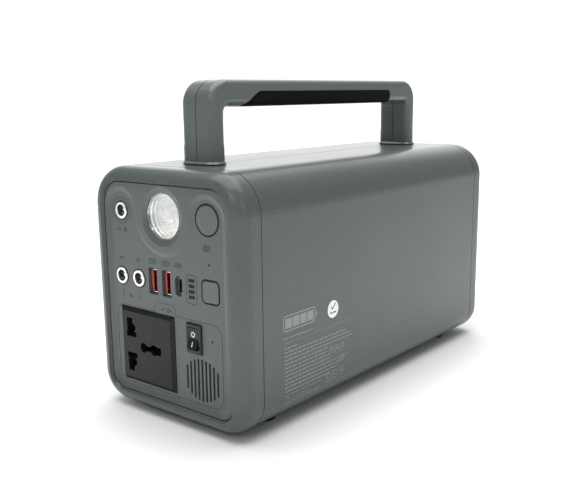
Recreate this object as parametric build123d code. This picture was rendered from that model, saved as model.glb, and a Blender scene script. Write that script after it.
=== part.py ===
from build123d import *
import os
from math import radians, sqrt, tan

# Portable power station: a moulded case with a carry handle, a front panel of outlets, and its inner works.
# Millimetres: +X right as seen from the front, +Y to the back, +Z up. The origin is the centre of the bottom
# of the object's box, on the surface that the rubber feet stand on.
# Most pieces are drawn in case sizes: x, the depth behind the front rim, and the height above the base.

# ---- driving sizes: case ----
case_width = 120.0
case_height = 143.0
case_length = 275.0
wall = 2.4
top_corner_radius = 23.0
bottom_corner_radius = 19.0
front_edge_radius = 9.0
rear_edge_radius = 11.0
bezel_depth = 16.0
rear_cover_depth = 17.5
seam_gap = 0.1
groove_width = 0.55
groove_depth = 0.45
lap_length = 4.0
lap_thickness = 1.6
lap_clearance = 0.2
lap_web = 2.0
lap_setback = 1.0
rib_heights = (40.0, 113.0)
rib_reach = 5.0
rib_thickness = 2.0
rib_lead = 8.0
rib_tail = 2.0
foot_height = 3.0
foot_radius = 6.5
foot_seat = 1.2
foot_chamfer = 0.6
foot_x = 38.5
foot_depths = (40.0, 240.0)
intake_slots = 11
intake_pitch = 4.6
intake_radius = 27.0
intake_slot_width = 1.9

# ---- front rim and panel ----
rim_side = 8.5
rim_top = 7.5
rim_draft = 1.0
frame_level = 2.2
well_step = 1.0
well_slope = 3.0
panel_thickness = 3.6
panel_gap = 0.15
panel_skirt = 3.0
lip_depth = 7.0
flange_thickness = 2.0
flange_inset = 4.5
flange_relief = 0.3
well_bottom = 12.3
well_corner = 7.0
ear_radius = 11.0
ear_height = 117.5

# ---- lamp and buttons, as x and height ----
lamp_x = -0.9
lamp_height = 116.7
lamp_radius = 13.2
lamp_cone = 3.4
lens_thickness = 1.5
lens_gap = 0.15
lens_recess = 0.2
lens_edge = 0.5
barrel_wall = 1.8
barrel_length = 5.0
reflector_depth = 12.0
reflector_wall = 0.8
reflector_throat = 3.2
reflector_rim = 1.0
lamp_board_radius = 10.0
led_side = 3.4
led_height = 1.0
button_gap = 0.3
button_travel = 1.0
button_proud = 0.35
button_edge = 0.5
button_flange_reach = 1.2
light_button_x = 33.5
light_button_height = 117.8
light_button_radius = 8.0
power_button_x = 34.6
power_button_height = 79.0
power_button_side = 12.0
power_button_corner = 2.4
button_flange = 1.2
button_stem_radius = 2.0
button_stem_end = 14.5
tact_side = 6.0
tact_height = 3.2
tact_pip_radius = 1.7
tact_gap = 0.2

# ---- low-voltage outlets ----
jack_places = ((-36.1, 117.5), (-38.3, 78.7), (-23.3, 78.8))
jack_radius = 5.5
jack_ring_radius = 4.9
jack_bore = 3.4
jack_pin_radius = 1.05
jack_ring_proud = 0.5
jack_flange_proud = 0.3
jack_edge = 0.35
jack_pin_edge = 0.6
jack_pin_setback = 1.6
jack_back = 5.0
usb_a_x = (-11.1, 0.0)
usb_height = 78.8
usb_a_pocket = (7.4, 15.3)
usb_pocket_depth = 2.3
usb_pocket_wall = 1.0
usb_pocket_corner = 0.8
usb_shell_gap = 0.15
usb_shell_lead = 0.3
usb_tongue = 1.8
usb_lip = 0.7
usb_contact = (0.25, 1.1)
usb_contact_pitch = 2.5
usb_contact_setback = 0.8
usb_block = 5.0
usb_a_shell = (5.7, 13.1)
usb_shell_wall = 0.3
usb_c_x = 9.8
usb_c_pocket = (5.7, 11.5)
usb_c_shell = (3.3, 9.1)
usb_c_blade = (0.7, 6.7)
usb_c_blade_setback = 0.4
usb_c_blade_edge = 0.2
level_x = 20.1
level_bar = (4.6, 1.95)
level_pitch = 3.1
level_count = 4
status_places = ((34.0, 93.8), (34.7, 51.5))
status_radius = 0.65
window_gap = 0.05
window_length = 3.0
led_chip = (2.0, 1.2)

# ---- mains socket, switch, fan ----
socket_x = -17.4
socket_height = 37.9
socket_side = (45.0, 44.5)
socket_gap = 0.45
socket_proud = 1.8
socket_bevel = 2.0
socket_corner = 0.6
socket_body_inset = 1.5
socket_body_corner = 2.0
socket_joint = 0.05
socket_face_depth = 8.0
socket_body_depth = 26.0
pin_pocket_depth = 20.0
pin_column = (4.9, 8.2)
pin_base = (8.5, 3.2)
pin_base_step = 0.6
pin_bulge_radius = 2.5
pin_column_x = -14.35
pin_inner_height = 4.9
earth_small = (-2.6, 3.0)
earth_large = (6.3, 3.3)
earth_slot_end = 12.2
earth_slot_height = 4.8
pocket_margin = 0.3
contact_start = 15.5
contact_thickness = 0.8
switch_x = 21.2
switch_height = 51.0
switch_bezel = (11.6, 17.1)
switch_window = (7.8, 12.9)
switch_body = (9.6, 14.9)
switch_proud = 1.3
switch_depth = 18.0
switch_gap = 0.15
switch_corner = 0.5
terminal = (4.8, 0.8)
terminal_offset = 4.0
terminal_length = 8.0
rocker_pivot = 3.6
rocker_rise = 1.6
rocker_back = 4.5
rocker_floor_gap = 0.8
rocker_gap = 0.3
rocker_throw = 18.0
rocker_pin_radius = 0.9
rocker_pin_reach = 0.45
rocker_pin_clearance = 0.06
fan_x = 26.3
fan_height = 27.7
fan_side = 30.0
fan_depth = 10.0
fan_bore = 14.2
fan_blade_tip = 13.5
fan_hub = 6.5
fan_blades = 7
fan_blade_pitch = 38.0
fan_blade = (8.2, 0.9)
fan_arm = 1.4
fan_arm_thickness = 1.2
fan_arm_angles = (45, 165, 285)
fan_corner = 2.5
fan_setback = 1.0
fan_screw_inset = 3.0
fan_screw_bite = 0.6
fan_running_gap = 0.3
fan_axle = 1.0
fan_axle_clearance = 0.05
vent_half_width = 14.4
vent_half_height = 12.3
vent_slots = 9
vent_pitch = 2.95
vent_slot_width = 1.4

# ---- handle ----
handle_front = 30.3
handle_length = 220.4
handle_rise = 47.6
handle_width = 25.0
leg_thickness = 11.7
bar_thickness = 15.0
handle_outer_radius = 14.0
handle_inner_radius = 4.0
handle_edge_radius = 4.0
handle_wall = 2.3
foot_flange = 1.3
foot_flange_height = 1.6
gasket_thickness = 0.5
gasket_inset = 0.9
plug_inset = 1.0
plug_height = 11.0
handle_screw_bite = 9.0
grip_start = 27.5
grip_end = 36.5
grip_height = 8.3
grip_slant = 13.0
grip_corner = 3.0
grip_skin = 1.9
grip_proud = 0.3
grip_clearance = 0.1
least_radius = 1.0

# ---- boards, inverter, battery ----
board_thickness = 1.6
port_board_depth = 20.0
inverter_depths = (36.0, 116.0)
inverter_board_height = 14.0
standoff_radius = 3.0
charger_post_radius = 2.5
port_board_half = 44.0
port_board_low = 66.0
port_board_top_gap = 14.0
port_board_window = 12.0
board_screw_places = ((-26.0, 97.0), (24.0, 97.0))
board_screw_bite = 5.0
inverter_half = 41.0
inverter_post_x = 37.0
inverter_post_inset = 5.0
charger_half = 40.0
charger_post_offsets = ((20.0, 3.5), (30.0, 74.0))
sink_span = (28.0, 31.0)
sink_tip = 40.0
sink_height = 44.0
sink_end_gap = 12.0
sink_fins = 8
sink_fin = 1.4
transistor_size = (4.65, 10.0, 16.0)
transistor_count = 4
transistor_pitch = 11.0
transformer_depth = 60.0
transformer_half = (21.0, 17.0)
transformer_height = 34.0
transformer_window = (6.0, 14.5)
transformer_yoke = 7.0
transformer_bulge = 8.0
winding_gap = 0.3
winding_corner = 6.0
capacitor_x = (-18.0, -6.0, 6.0, 18.0)
capacitor_depth = 97.0
capacitor_radius = 5.5
capacitor_height = 25.0
capacitor_edge = 0.8
inductor_x = 18.0
inductor_depth = 62.0
inductor_ring = 9.5
inductor_coil = 5.9
inductor_height = 11.0
charger_board_height = 92.0
cell_radius = 9.2
cell_length = 65.0
cell_pitch = 19.3
cell_columns = 6
cell_rows = 6
cell_clearance = 0.15
cell_first_depth = 139.0
cell_first_height = 21.5
holder_thickness = 7.0
holder_web = 2.0
strip_thickness = 0.4
tray_thickness = 2.0
tray_half = 38.0
tray_rail = 8.0
holder_margin = 0.9
holder_window_lip = 3.0
strip_width = 8.0
strip_end_gap = 3.0
guard_board_half = 32.0
guard_board_span = (12.0, 84.0)
guard_board_gap = 2.5
guard_part = (7.0, 3.0, 10.0)
guard_part_pitch = 10.0
guard_part_count = 6
guard_part_rise = 20.0
clip_x = 30.0
clip_wide = 4.0
clip_span = (30.0, 60.0)
battery_lead_x = (-8.0, 8.0)
battery_lead_rise = 50.0
battery_lead_depth = 110.0
battery_lead_radius = 1.6
battery_lead_bend = 5.0
socket_lead_ends = ((-10.0, 26.0), (-15.0, 50.0))
socket_lead_depth = 39.5
socket_lead_radius = 1.3
socket_lead_bend = 4.0

# ---- fasteners ----
tie_inset = 13.0
tie_radius = 1.5
tie_clearance = 0.2
tie_head_radius = 2.8
tie_head = 2.2
tie_head_gap = 0.3
tie_socket = 1.2
tie_sink = 3.0
tie_post = 4.4
tie_post_gap = 0.4
tie_blind = 2.0
screw_radius = 1.25
screw_head_radius = 2.3
screw_head = 1.6
screw_dome = 0.7
screw_slot = (2.6, 0.6)
panel_screw_bite = 4.0

# ---- clearances ----
touch_gap = 0.02
slip_gap = 0.1
screw_gap = 0.25
thread_gap = 0.02
gasket_gap = 0.05
overrun = 1.0

front_y = -case_length / 2
lower_level = frame_level + well_step
panel_back = frame_level + panel_thickness
rear_seam = case_length - rear_cover_depth
flange_back = lip_depth + flange_thickness
rocker_radius = switch_window[1] / 2 - rocker_gap
front = Pos(0, front_y, foot_height) * Rot(X=90)

os.makedirs("parts", exist_ok=True)


def save(name, *solids):
    """Writes one node: a single solid, or a group of separate solids."""
    flat = [s for item in solids for s in item.solids()]
    export_step(flat[0] if len(flat) == 1 else Compound(children=flat), f"parts/{name}.step")


# ---- drawing helpers, in case sizes ----
def plate(outline, near, far):
    """A front-view outline made solid between two depths."""
    return front * Pos(0, 0, -far) * extrude(outline, amount=far - near)


def ramp(near_outline, near, far_outline, far):
    """A solid whose outline changes evenly from one depth to another."""
    return front * loft([Pos(0, 0, -near) * near_outline, Pos(0, 0, -far) * far_outline], ruled=True)


def rod(x, height, radius, near, far):
    return plate(Pos(x, height) * Circle(radius), near, far)


def bar(x, height, wide, tall, near, far):
    return plate(Pos(x, height) * Rectangle(wide, tall), near, far)


def brick(x_span, depth_span, height_span):
    """A box between two values of x, depth and height."""
    sizes = [high - low for low, high in (x_span, depth_span, height_span)]
    middle = [(low + high) / 2 for low, high in (x_span, depth_span, height_span)]
    return Pos(middle[0], front_y + middle[1], foot_height + middle[2]) * Box(*sizes)


def post(x, depth, radius, low, high):
    """A round upright between two heights."""
    middle = Pos(x, front_y + depth, foot_height + (low + high) / 2)
    return middle * Cylinder(radius, high - low)


def mirrored(shape):
    return mirror(shape, about=Plane.YZ)


# ---- outlines ----
def case_outline(side, top=None):
    """The case's front-view outline, drawn in by side and, above and below, by top."""
    top = side if top is None else top
    wide, tall = case_width - 2 * side, case_height - 2 * top
    outline = Pos(0, case_height / 2) * Rectangle(wide, tall)
    corners = outline.vertices().sort_by(Axis.Y)
    outline = fillet(corners[2:], top_corner_radius - (side + top) / 2)
    return fillet(outline.vertices().group_by(Axis.Y)[0], bottom_corner_radius - (side + top) / 2)


def well_outline(grow):
    """The panel's sunk field: two round ears, and between them the tongue that carries the lamp."""
    left, right = jack_places[0][0], light_button_x
    radius = ear_radius + grow
    tongue_middle = (left + right) / 2
    tongue_radius = (right - left) / 2 - radius
    low, corner = well_bottom - grow, well_corner + grow
    left_side, right_side = left - radius, right + radius
    slant = corner * (1 - sqrt(0.5))
    line = Polyline((left_side, low + corner), (left_side, ear_height))
    line += ThreePointArc((left_side, ear_height), (left, ear_height + radius), (left + radius, ear_height))
    line += ThreePointArc(
        (left + radius, ear_height), (tongue_middle, ear_height - tongue_radius), (right - radius, ear_height)
    )
    ear_start, ear_top = (right - radius, ear_height), (right, ear_height + radius)
    line += ThreePointArc(ear_start, ear_top, (right_side, ear_height))
    line += Line((right_side, ear_height), (right_side, low + corner))
    line += ThreePointArc(
        (right_side, low + corner), (right_side - slant, low + slant), (right_side - corner, low)
    )
    line += Line((right_side - corner, low), (left_side + corner, low))
    line += ThreePointArc(
        (left_side + corner, low), (left_side + slant, low + slant), (left_side, low + corner)
    )
    return make_face(line)


def stadium(wide, tall):
    return RectangleRounded(wide, tall, wide / 2 - 0.01)


def pin_hole(side):
    """A live or neutral hole of the socket: a column, a round bulge and a wide base; side is +1 or -1."""
    wide, tall = pin_column[0], pin_column[1] + slip_gap
    column_height = pin_inner_height + pin_base[1] - slip_gap + tall / 2
    column = Pos(pin_column_x, side * column_height) * Rectangle(wide, tall)
    base_x = pin_column_x - pin_column[0] / 2 - pin_base_step + pin_base[0] / 2
    base = Pos(base_x, side * (pin_inner_height + pin_base[1] / 2)) * Rectangle(*pin_base)
    bulge_height = pin_inner_height + pin_base[1] + pin_bulge_radius
    bulge = Pos(pin_column_x + pin_column[0] / 2, side * bulge_height) * Circle(pin_bulge_radius)
    return column + base + bulge


def earth_hole():
    small = Pos(earth_small[0], 0) * Circle(earth_small[1])
    large = Pos(earth_large[0], 0) * Circle(earth_large[1])
    slot_length = earth_slot_end - earth_large[0]
    slot = Pos(earth_large[0] + slot_length / 2, 0) * Rectangle(slot_length, earth_slot_height)
    neck_length = earth_large[0] - earth_small[0]
    neck = Pos(earth_small[0] + neck_length / 2, 0) * Rectangle(neck_length, earth_small[1])
    return small + large + slot + neck


def vent_outline():
    """Upright slots, cut to a rounded field."""
    slots = Sketch()
    for index in range(vent_slots):
        offset = (index - (vent_slots - 1) / 2) * vent_pitch
        half = vent_half_height * sqrt(1 - (offset / vent_half_width) ** 2)
        slots += Pos(fan_x + offset, fan_height) * stadium(vent_slot_width, 2 * half)
    return slots


def tie_places():
    x = case_width / 2 - tie_inset
    return [(side * x, height) for side in (-1, 1) for height in (tie_inset, case_height - tie_inset)]


# ---- case ----
def seam_cut(depth):
    """A fine groove round the case where two covers meet."""
    half = groove_width / 2
    return plate(case_outline(-1) - case_outline(groove_depth), depth - half, depth + half)


def front_bezel():
    body = plate(case_outline(0), 0, bezel_depth - seam_gap / 2)
    body = fillet(body.faces().sort_by(Axis.Y)[0].edges(), front_edge_radius)
    body -= plate(case_outline(wall), lip_depth, bezel_depth)
    mouth = case_outline(rim_side + rim_draft, rim_top + rim_draft)
    body -= ramp(case_outline(rim_side, rim_top), 0, mouth, frame_level)
    body -= plate(case_outline(rim_side, rim_top), -overrun, 0)
    body -= plate(mouth, frame_level - touch_gap / 2, lip_depth + overrun)
    lap_outer, lap_inner = wall + lap_clearance, wall + lap_clearance + lap_thickness
    web_end = bezel_depth - lap_setback
    body += plate(case_outline(wall) - case_outline(lap_inner), web_end - lap_web, web_end)
    lap = case_outline(lap_outer) - case_outline(lap_inner)
    body += plate(lap, bezel_depth - lap_web, bezel_depth + lap_length)
    for x, height in tie_places():
        body += rod(x, height, tie_post, lip_depth, bezel_depth)
        body -= rod(x, height, tie_radius + thread_gap, lip_depth - tie_blind, bezel_depth + overrun)
    for x, height in panel_screw_places():
        body -= rod(x, height, screw_radius + thread_gap, lip_depth - panel_screw_bite, lip_depth + overrun)
    return body - seam_cut(bezel_depth)


def panel_screw_places():
    x = case_width / 2 - (flange_inset + rim_side + rim_draft) / 2
    return [(side * x, case_height * share) for side in (-1, 1) for share in (0.28, 0.5, 0.72)]


def front_panel():
    """The panel: a plate with a sunk field, on a skirt and a flange that screws to the back of the rim."""
    side, top = rim_side + rim_draft + panel_gap, rim_top + rim_draft + panel_gap
    inner = case_outline(side + panel_skirt, top + panel_skirt)
    panel = plate(case_outline(side, top), frame_level, panel_back)
    panel += plate(case_outline(side, top) - inner, panel_back - overrun, lip_depth + overrun)
    panel += plate(case_outline(flange_inset) - inner, lip_depth + gasket_gap, flange_back)
    panel -= ramp(well_outline(well_slope), frame_level, well_outline(0), lower_level)
    lamp_mouth = Pos(lamp_x, lamp_height) * Circle(lamp_radius)
    lamp_rim = Pos(lamp_x, lamp_height) * Circle(lamp_radius + lamp_cone)
    barrel = Pos(lamp_x, lamp_height) * Circle(lamp_radius + barrel_wall)
    panel -= ramp(lamp_rim, frame_level, lamp_mouth, lower_level)
    panel += plate(barrel, panel_back - overrun, panel_back + barrel_length)
    panel -= plate(lamp_mouth, frame_level, panel_back + barrel_length + overrun)
    for pocket in usb_pockets(usb_pocket_wall):
        panel += plate(pocket, panel_back - overrun, panel_back + overrun)
    for pocket in usb_pockets(0):
        panel -= plate(pocket, 0, lower_level + usb_pocket_depth)
    for opening in panel_openings():
        panel -= plate(opening, 0, flange_back)
    for x, height in tie_places():
        panel -= rod(x, height, tie_post + tie_post_gap, lip_depth - flange_relief, flange_back + overrun)
    for x, height in panel_screw_places():
        panel -= rod(x, height, screw_radius + screw_gap, lip_depth - flange_relief, flange_back + overrun)
    return panel


def usb_pockets(grow):
    """The outlines of the sunk pockets round the USB outlets."""
    wide, tall = (size + 2 * grow for size in usb_a_pocket)
    pockets = [Pos(x, usb_height) * RectangleRounded(wide, tall, usb_pocket_corner) for x in usb_a_x]
    wide, tall = (size + 2 * grow for size in usb_c_pocket)
    return pockets + [Pos(usb_c_x, usb_height) * stadium(wide, tall)]


def panel_openings():
    """The outlines of what is cut right through the panel."""
    openings = [Pos(light_button_x, light_button_height) * Circle(light_button_radius + button_gap)]
    openings += [power_button_outline(button_gap), socket_outline(socket_gap), vent_outline()]
    openings += [Pos(x, height) * Circle(jack_radius + slip_gap) for x, height in jack_places]
    wide, tall = (size + 2 * usb_shell_gap for size in usb_a_shell)
    openings += [Pos(x, usb_height) * Rectangle(wide, tall) for x in usb_a_x]
    wide, tall = (size + 2 * usb_shell_gap for size in usb_c_shell)
    openings.append(Pos(usb_c_x, usb_height) * stadium(wide, tall))
    wide, tall = (size + 2 * window_gap for size in level_bar)
    openings += [Pos(level_x, height) * Rectangle(wide, tall) for height in level_heights()]
    openings += [Pos(x, height) * Circle(status_radius + window_gap) for x, height in status_places]
    wide, tall = (size + 2 * switch_gap for size in switch_body)
    openings.append(Pos(switch_x, switch_height) * Rectangle(wide, tall))
    return openings


def power_button_outline(grow):
    side = power_button_side + 2 * grow
    return Pos(power_button_x, power_button_height) * RectangleRounded(side, side, power_button_corner + grow)


def socket_outline(grow):
    wide, tall = (size + 2 * grow for size in socket_side)
    return Pos(socket_x, socket_height) * RectangleRounded(wide, tall, socket_corner)


def level_heights():
    return [usb_height + (index - (level_count - 1) / 2) * level_pitch for index in range(level_count)]


def leg_depths():
    """The middle of each handle leg, as depths behind the rim."""
    return handle_front + leg_thickness / 2, handle_front + handle_length - leg_thickness / 2


def handle_screw_places():
    return [(side * handle_width / 4, depth) for side in (-1, 1) for depth in leg_depths()]


def half_shell():
    """The right half of the middle case."""
    near, far = bezel_depth + seam_gap / 2, rear_seam - seam_gap / 2
    shell = plate(case_outline(0) - case_outline(wall), near, far)
    shell -= brick((-case_width, seam_gap / 2), (0, case_length), (-overrun, case_height + overrun))
    half = groove_width / 2
    for edge in (0, case_height):
        shell -= brick((-half, half), (0, case_length), (edge - groove_depth, edge + groove_depth))
    shell -= seam_cut(bezel_depth) + seam_cut(rear_seam)
    for depth in foot_depths:
        shell -= post(foot_x, depth, foot_radius + slip_gap, -overrun, foot_seat)
    for depth in leg_depths():
        hole = (case_height - 2 * wall, case_height + overrun)
        shell -= post(handle_width / 4, depth, screw_radius + screw_gap, *hole)
    for height in rib_heights:
        reach = (case_width / 2 - wall - rib_reach, case_width / 2)
        depths = (near + lap_length + rib_lead, far - lap_length - rib_tail)
        rib = brick(reach, depths, (height - rib_thickness, height))
        shell += rib & plate(case_outline(wall / 2), near, far)
    return shell


def rear_cover():
    body = plate(case_outline(0), rear_seam + seam_gap / 2, case_length)
    body = fillet(body.faces().sort_by(Axis.Y)[-1].edges(), rear_edge_radius)
    hollow = plate(case_outline(wall), rear_seam - overrun, case_length - wall)
    hollow = fillet(hollow.faces().sort_by(Axis.Y)[-1].edges(), rear_edge_radius - wall)
    body -= hollow
    lap_outer, lap_inner = wall + lap_clearance, wall + lap_clearance + lap_thickness
    web_start = rear_seam + lap_setback
    body += plate(case_outline(wall) - case_outline(lap_inner), web_start, web_start + lap_web)
    lap = case_outline(lap_outer) - case_outline(lap_inner)
    body += plate(lap, rear_seam - lap_length, rear_seam + lap_web)
    for x, height in tie_places():
        boss = rod(x, height, tie_post, rear_seam, case_length - wall / 2)
        body += boss & plate(case_outline(wall / 2), 0, case_length)
        body -= rod(x, height, tie_radius + tie_clearance, rear_seam - overrun, case_length + overrun)
        body -= rod(x, height, tie_head_radius + tie_head_gap, case_length - tie_sink, case_length + overrun)
    for index in range(intake_slots):
        height = case_height / 2 + (index - (intake_slots - 1) / 2) * intake_pitch
        reach = sqrt(intake_radius**2 - (height - case_height / 2) ** 2)
        slot = Pos(0, height) * Rot(Z=90) * stadium(intake_slot_width, 2 * reach)
        body -= plate(slot, case_length - 2 * wall, case_length + overrun)
    return body - seam_cut(rear_seam)


def feet():
    pads = []
    for side in (-1, 1):
        for depth in foot_depths:
            pad = post(side * foot_x, depth, foot_radius, -foot_height, foot_seat - gasket_gap)
            pads.append(chamfer(pad.faces().sort_by(Axis.Z)[0].edges(), foot_chamfer))
    return pads


# ---- handle ----
def handle_outline(inset):
    """Side view of the handle: a bar on two legs. Local x is depth, local y is height."""
    length, rise = handle_length - 2 * inset, handle_rise - inset
    middle = handle_front + handle_length / 2
    outer = Pos(middle, case_height + rise / 2) * Rectangle(length, rise)
    outer = fillet(outer.vertices().group_by(Axis.Y)[-1], handle_outer_radius - inset)
    gap_length = handle_length - 2 * leg_thickness + 2 * inset
    gap_rise = handle_rise - bar_thickness + inset
    gap = Pos(middle, case_height + gap_rise / 2) * Rectangle(gap_length, gap_rise)
    gap = fillet(gap.vertices().group_by(Axis.Y)[-1], handle_inner_radius + inset)
    return outer - gap - Pos(middle, case_height) * Rectangle(gap_length, overrun)


def across(outline, x_low, x_high):
    """A side-view outline made solid between two values of x."""
    side_view = Plane(origin=(x_low, front_y, foot_height), x_dir=(0, 1, 0), z_dir=(1, 0, 0))
    return extrude(side_view * outline, amount=x_high - x_low)


def grip_outline(grow):
    """Side view of the rubber grip: slanted at the front, rounded at the back."""
    base = case_height + handle_rise - bar_thickness
    low, high = base - overrun, base + grip_height + grow
    start, end = handle_front + grip_start - grow, handle_front + handle_length - grip_end + grow
    run_out = grip_slant / grip_height * overrun
    corners = [(start - run_out, low), (start + grip_slant, high), (end, high), (end, low)]
    outline = make_face(Polyline(*corners, close=True))
    tops = outline.vertices().group_by(Axis.Y)[-1].sort_by(Axis.X)
    outline = fillet(tops[1], grip_corner)
    return fillet(outline.vertices().group_by(Axis.Y)[-1].sort_by(Axis.X)[0], grip_corner * 3)


def bar_section(inset):
    """The plain bar's section, as a rounded prism along the handle."""
    wide, tall = handle_width - 2 * inset, bar_thickness - 2 * inset
    middle_height = case_height + handle_rise - bar_thickness / 2
    radius = max(handle_edge_radius - inset, least_radius)
    outline = Pos(0, middle_height) * RectangleRounded(wide, tall, radius)
    return plate(outline, handle_front + leg_thickness, handle_front + handle_length - leg_thickness)


def foot_outline(inset):
    """The flared foot of a handle leg, seen from above."""
    wide, thick = (size + 2 * foot_flange - 2 * inset for size in (handle_width, leg_thickness))
    return RectangleRounded(wide, thick, handle_edge_radius + foot_flange - inset)


def handle_half():
    """The right half of the handle, with its flared feet and the seat of the grip."""
    half = handle_width / 2
    body = across(handle_outline(0), -half, half)
    flat_sides = body.faces().sort_by(Axis.X)
    rims = flat_sides[0].edges() + flat_sides[-1].edges()
    rims = [edge for edge in rims if edge.center().Z > foot_height + case_height + gasket_thickness]
    body = fillet(rims, handle_edge_radius)
    for depth in leg_depths():
        base = Pos(0, front_y + depth, foot_height + case_height + gasket_thickness)
        pad = base * extrude(foot_outline(0), amount=foot_flange_height)
        body += chamfer(pad.faces().sort_by(Axis.Z)[-1].edges(), foot_flange - slip_gap)
        body -= post(0, depth, handle_width, case_height - overrun, case_height + gasket_thickness)
    hollow = handle_wall + grip_skin
    body -= across(handle_outline(hollow), hollow - half, half - hollow)
    for depth in leg_depths():
        body += body_plug(depth)
    seat = across(grip_outline(grip_clearance), -half - overrun, half + overrun)
    body -= seat - bar_section(grip_skin + grip_clearance)
    for x, depth in handle_screw_places():
        hole = (case_height - overrun, case_height + handle_screw_bite)
        body -= post(x, depth, screw_radius + thread_gap, *hole)
    body -= across(handle_outline(0) - handle_outline(groove_depth), -groove_width / 2, groove_width / 2)
    return body - brick((-2 * half, seam_gap / 2), (0, case_length), (0, 2 * case_height))


def body_plug(depth):
    """The solid end of a leg that the handle screws bite into."""
    half, reach = handle_width / 2 - plug_inset, leg_thickness / 2 - plug_inset
    span = (case_height + gasket_thickness, case_height + plug_height)
    return brick((-half, half), (depth - reach, depth + reach), span)


def handle_grip():
    half = handle_width / 2
    skin = bar_section(-grip_proud) - bar_section(grip_skin)
    return skin & across(grip_outline(0), -half - overrun, half + overrun)


def handle_gaskets():
    pads = []
    for depth in leg_depths():
        base = Pos(0, front_y + depth, foot_height + case_height + touch_gap)
        pad = base * extrude(foot_outline(gasket_inset), amount=gasket_thickness - 2 * touch_gap)
        for side in (-1, 1):
            hole = (case_height - overrun, case_height + overrun)
            pad -= post(side * handle_width / 4, depth, screw_radius + screw_gap, *hole)
        pads.append(pad)
    return pads


# ---- screws ----
def screw(length):
    """A round-headed cross-slotted screw along +Z, its head's underside at z = 0."""
    shank = Pos(0, 0, length / 2) * Cylinder(screw_radius, length)
    cap = Pos(0, 0, -screw_head / 2) * Cylinder(screw_head_radius, screw_head)
    cap = fillet(cap.faces().sort_by(Axis.Z)[0].edges(), screw_dome)
    arm, slit = screw_slot
    cross = Pos(0, 0, -screw_head) * (Box(arm, slit, screw_head) + Box(slit, arm, screw_head))
    return shank + cap - cross


def tie_bolts():
    bolts = []
    head_depth = case_length - tie_sink
    for x, height in tie_places():
        shank = rod(x, height, tie_radius, lip_depth, head_depth + overrun)
        head = rod(x, height, tie_head_radius, head_depth + gasket_gap, head_depth + tie_head)
        hexagon = Pos(x, height) * RegularPolygon(tie_radius, 6)
        socket = plate(hexagon, head_depth + tie_head - tie_socket, head_depth + tie_head + overrun)
        bolts.append(shank + head - socket)
    return bolts


def handle_screws():
    screws = []
    for x, depth in handle_screw_places():
        place = Pos(x, front_y + depth, foot_height + case_height - wall - touch_gap)
        screws.append(place * screw(wall + handle_screw_bite - overrun / 2))
    return screws


def panel_screws():
    screws = []
    for x, height in panel_screw_places():
        place = front * Pos(x, height, -flange_back - touch_gap)
        screws.append(place * screw(flange_thickness + panel_screw_bite - overrun / 2))
    return screws


# ---- lamp ----
def lamp_lens():
    near = lower_level + lens_recess
    lens = rod(lamp_x, lamp_height, lamp_radius - lens_gap, near, near + lens_thickness)
    return fillet(lens.faces().sort_by(Axis.Y)[0].edges(), lens_edge)


def reflector_near():
    return lower_level + lens_recess + lens_thickness + gasket_gap


def reflector_radius(depth):
    """The reflector's inner radius, wide at its mouth and narrow at its throat, as a parabola."""
    share = 1 - depth / reflector_depth
    return reflector_throat + (lamp_radius - reflector_rim - reflector_throat) * sqrt(share)


def lamp_reflector():
    """A turned bowl: a parabola inside, the same line a wall's thickness out, and a flat rim."""
    steps = 8
    depths = [reflector_depth * k / steps for k in range(steps + 1)]
    inner = [(reflector_radius(depth), -depth) for depth in depths]
    outer = [(radius + reflector_wall, height) for radius, height in reversed(inner[1:])]
    rim = lamp_radius - lens_gap
    ring = Spline(*inner) + Line(inner[-1], outer[0]) + Spline(*outer)
    ring += Polyline(outer[-1], (rim, outer[-1][1]), (rim, 0), inner[0])
    profile = Plane.XZ * make_face(ring)
    return front * Pos(lamp_x, lamp_height, -reflector_near()) * revolve(profile, Axis.Z)


def lamp_board_near():
    return reflector_near() + reflector_depth + gasket_gap


def lamp_board():
    near = lamp_board_near()
    return rod(lamp_x, lamp_height, lamp_board_radius, near, near + board_thickness)


def lamp_led():
    near = lamp_board_near()
    return bar(lamp_x, lamp_height, led_side, led_side, near - led_height, near - touch_gap)


# ---- buttons ----
def button(outline, flange_outline, x, height):
    """A push cap: its face, the flange that keeps it behind the panel, and the stem over its switch."""
    flange_near = panel_back + button_gap
    cap = plate(outline, lower_level - button_proud, flange_near + button_flange)
    cap = fillet(cap.faces().sort_by(Axis.Y)[0].edges(), button_edge)
    cap += plate(flange_outline, flange_near, flange_near + button_flange)
    return cap + rod(x, height, button_stem_radius, panel_back + overrun, button_stem_end)


def light_button():
    place = Pos(light_button_x, light_button_height)
    face = place * Circle(light_button_radius)
    flange = place * Circle(light_button_radius + button_flange_reach)
    return button(face, flange, light_button_x, light_button_height)


def power_button():
    flange = power_button_outline(button_flange_reach)
    return button(power_button_outline(0), flange, power_button_x, power_button_height)


def tact_switches():
    switches = []
    for x, height in ((light_button_x, light_button_height), (power_button_x, power_button_height)):
        near, far = port_board_depth - tact_height, port_board_depth - touch_gap
        body = bar(x, height, tact_side, tact_side, near, far)
        pip_near = button_stem_end + button_travel + tact_gap
        pip = rod(x, height, tact_pip_radius, pip_near, port_board_depth - overrun)
        switches.append(body + pip)
    return switches


# ---- low-voltage outlets ----
def jack_bodies():
    bodies = []
    for x, height in jack_places:
        body = rod(x, height, jack_radius, lower_level - jack_flange_proud, port_board_depth - touch_gap)
        body -= rod(x, height, jack_ring_radius + thread_gap, 0, port_board_depth - jack_back)
        bodies.append(body)
    return bodies


def jack_sleeves():
    sleeves = []
    for x, height in jack_places:
        far = port_board_depth - jack_back - touch_gap
        ring = rod(x, height, jack_ring_radius, lower_level - jack_ring_proud, far)
        ring = fillet(ring.faces().sort_by(Axis.Y)[0].edges(), jack_edge)
        sleeves.append(ring - rod(x, height, jack_bore, 0, far - overrun))
    return sleeves


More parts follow.
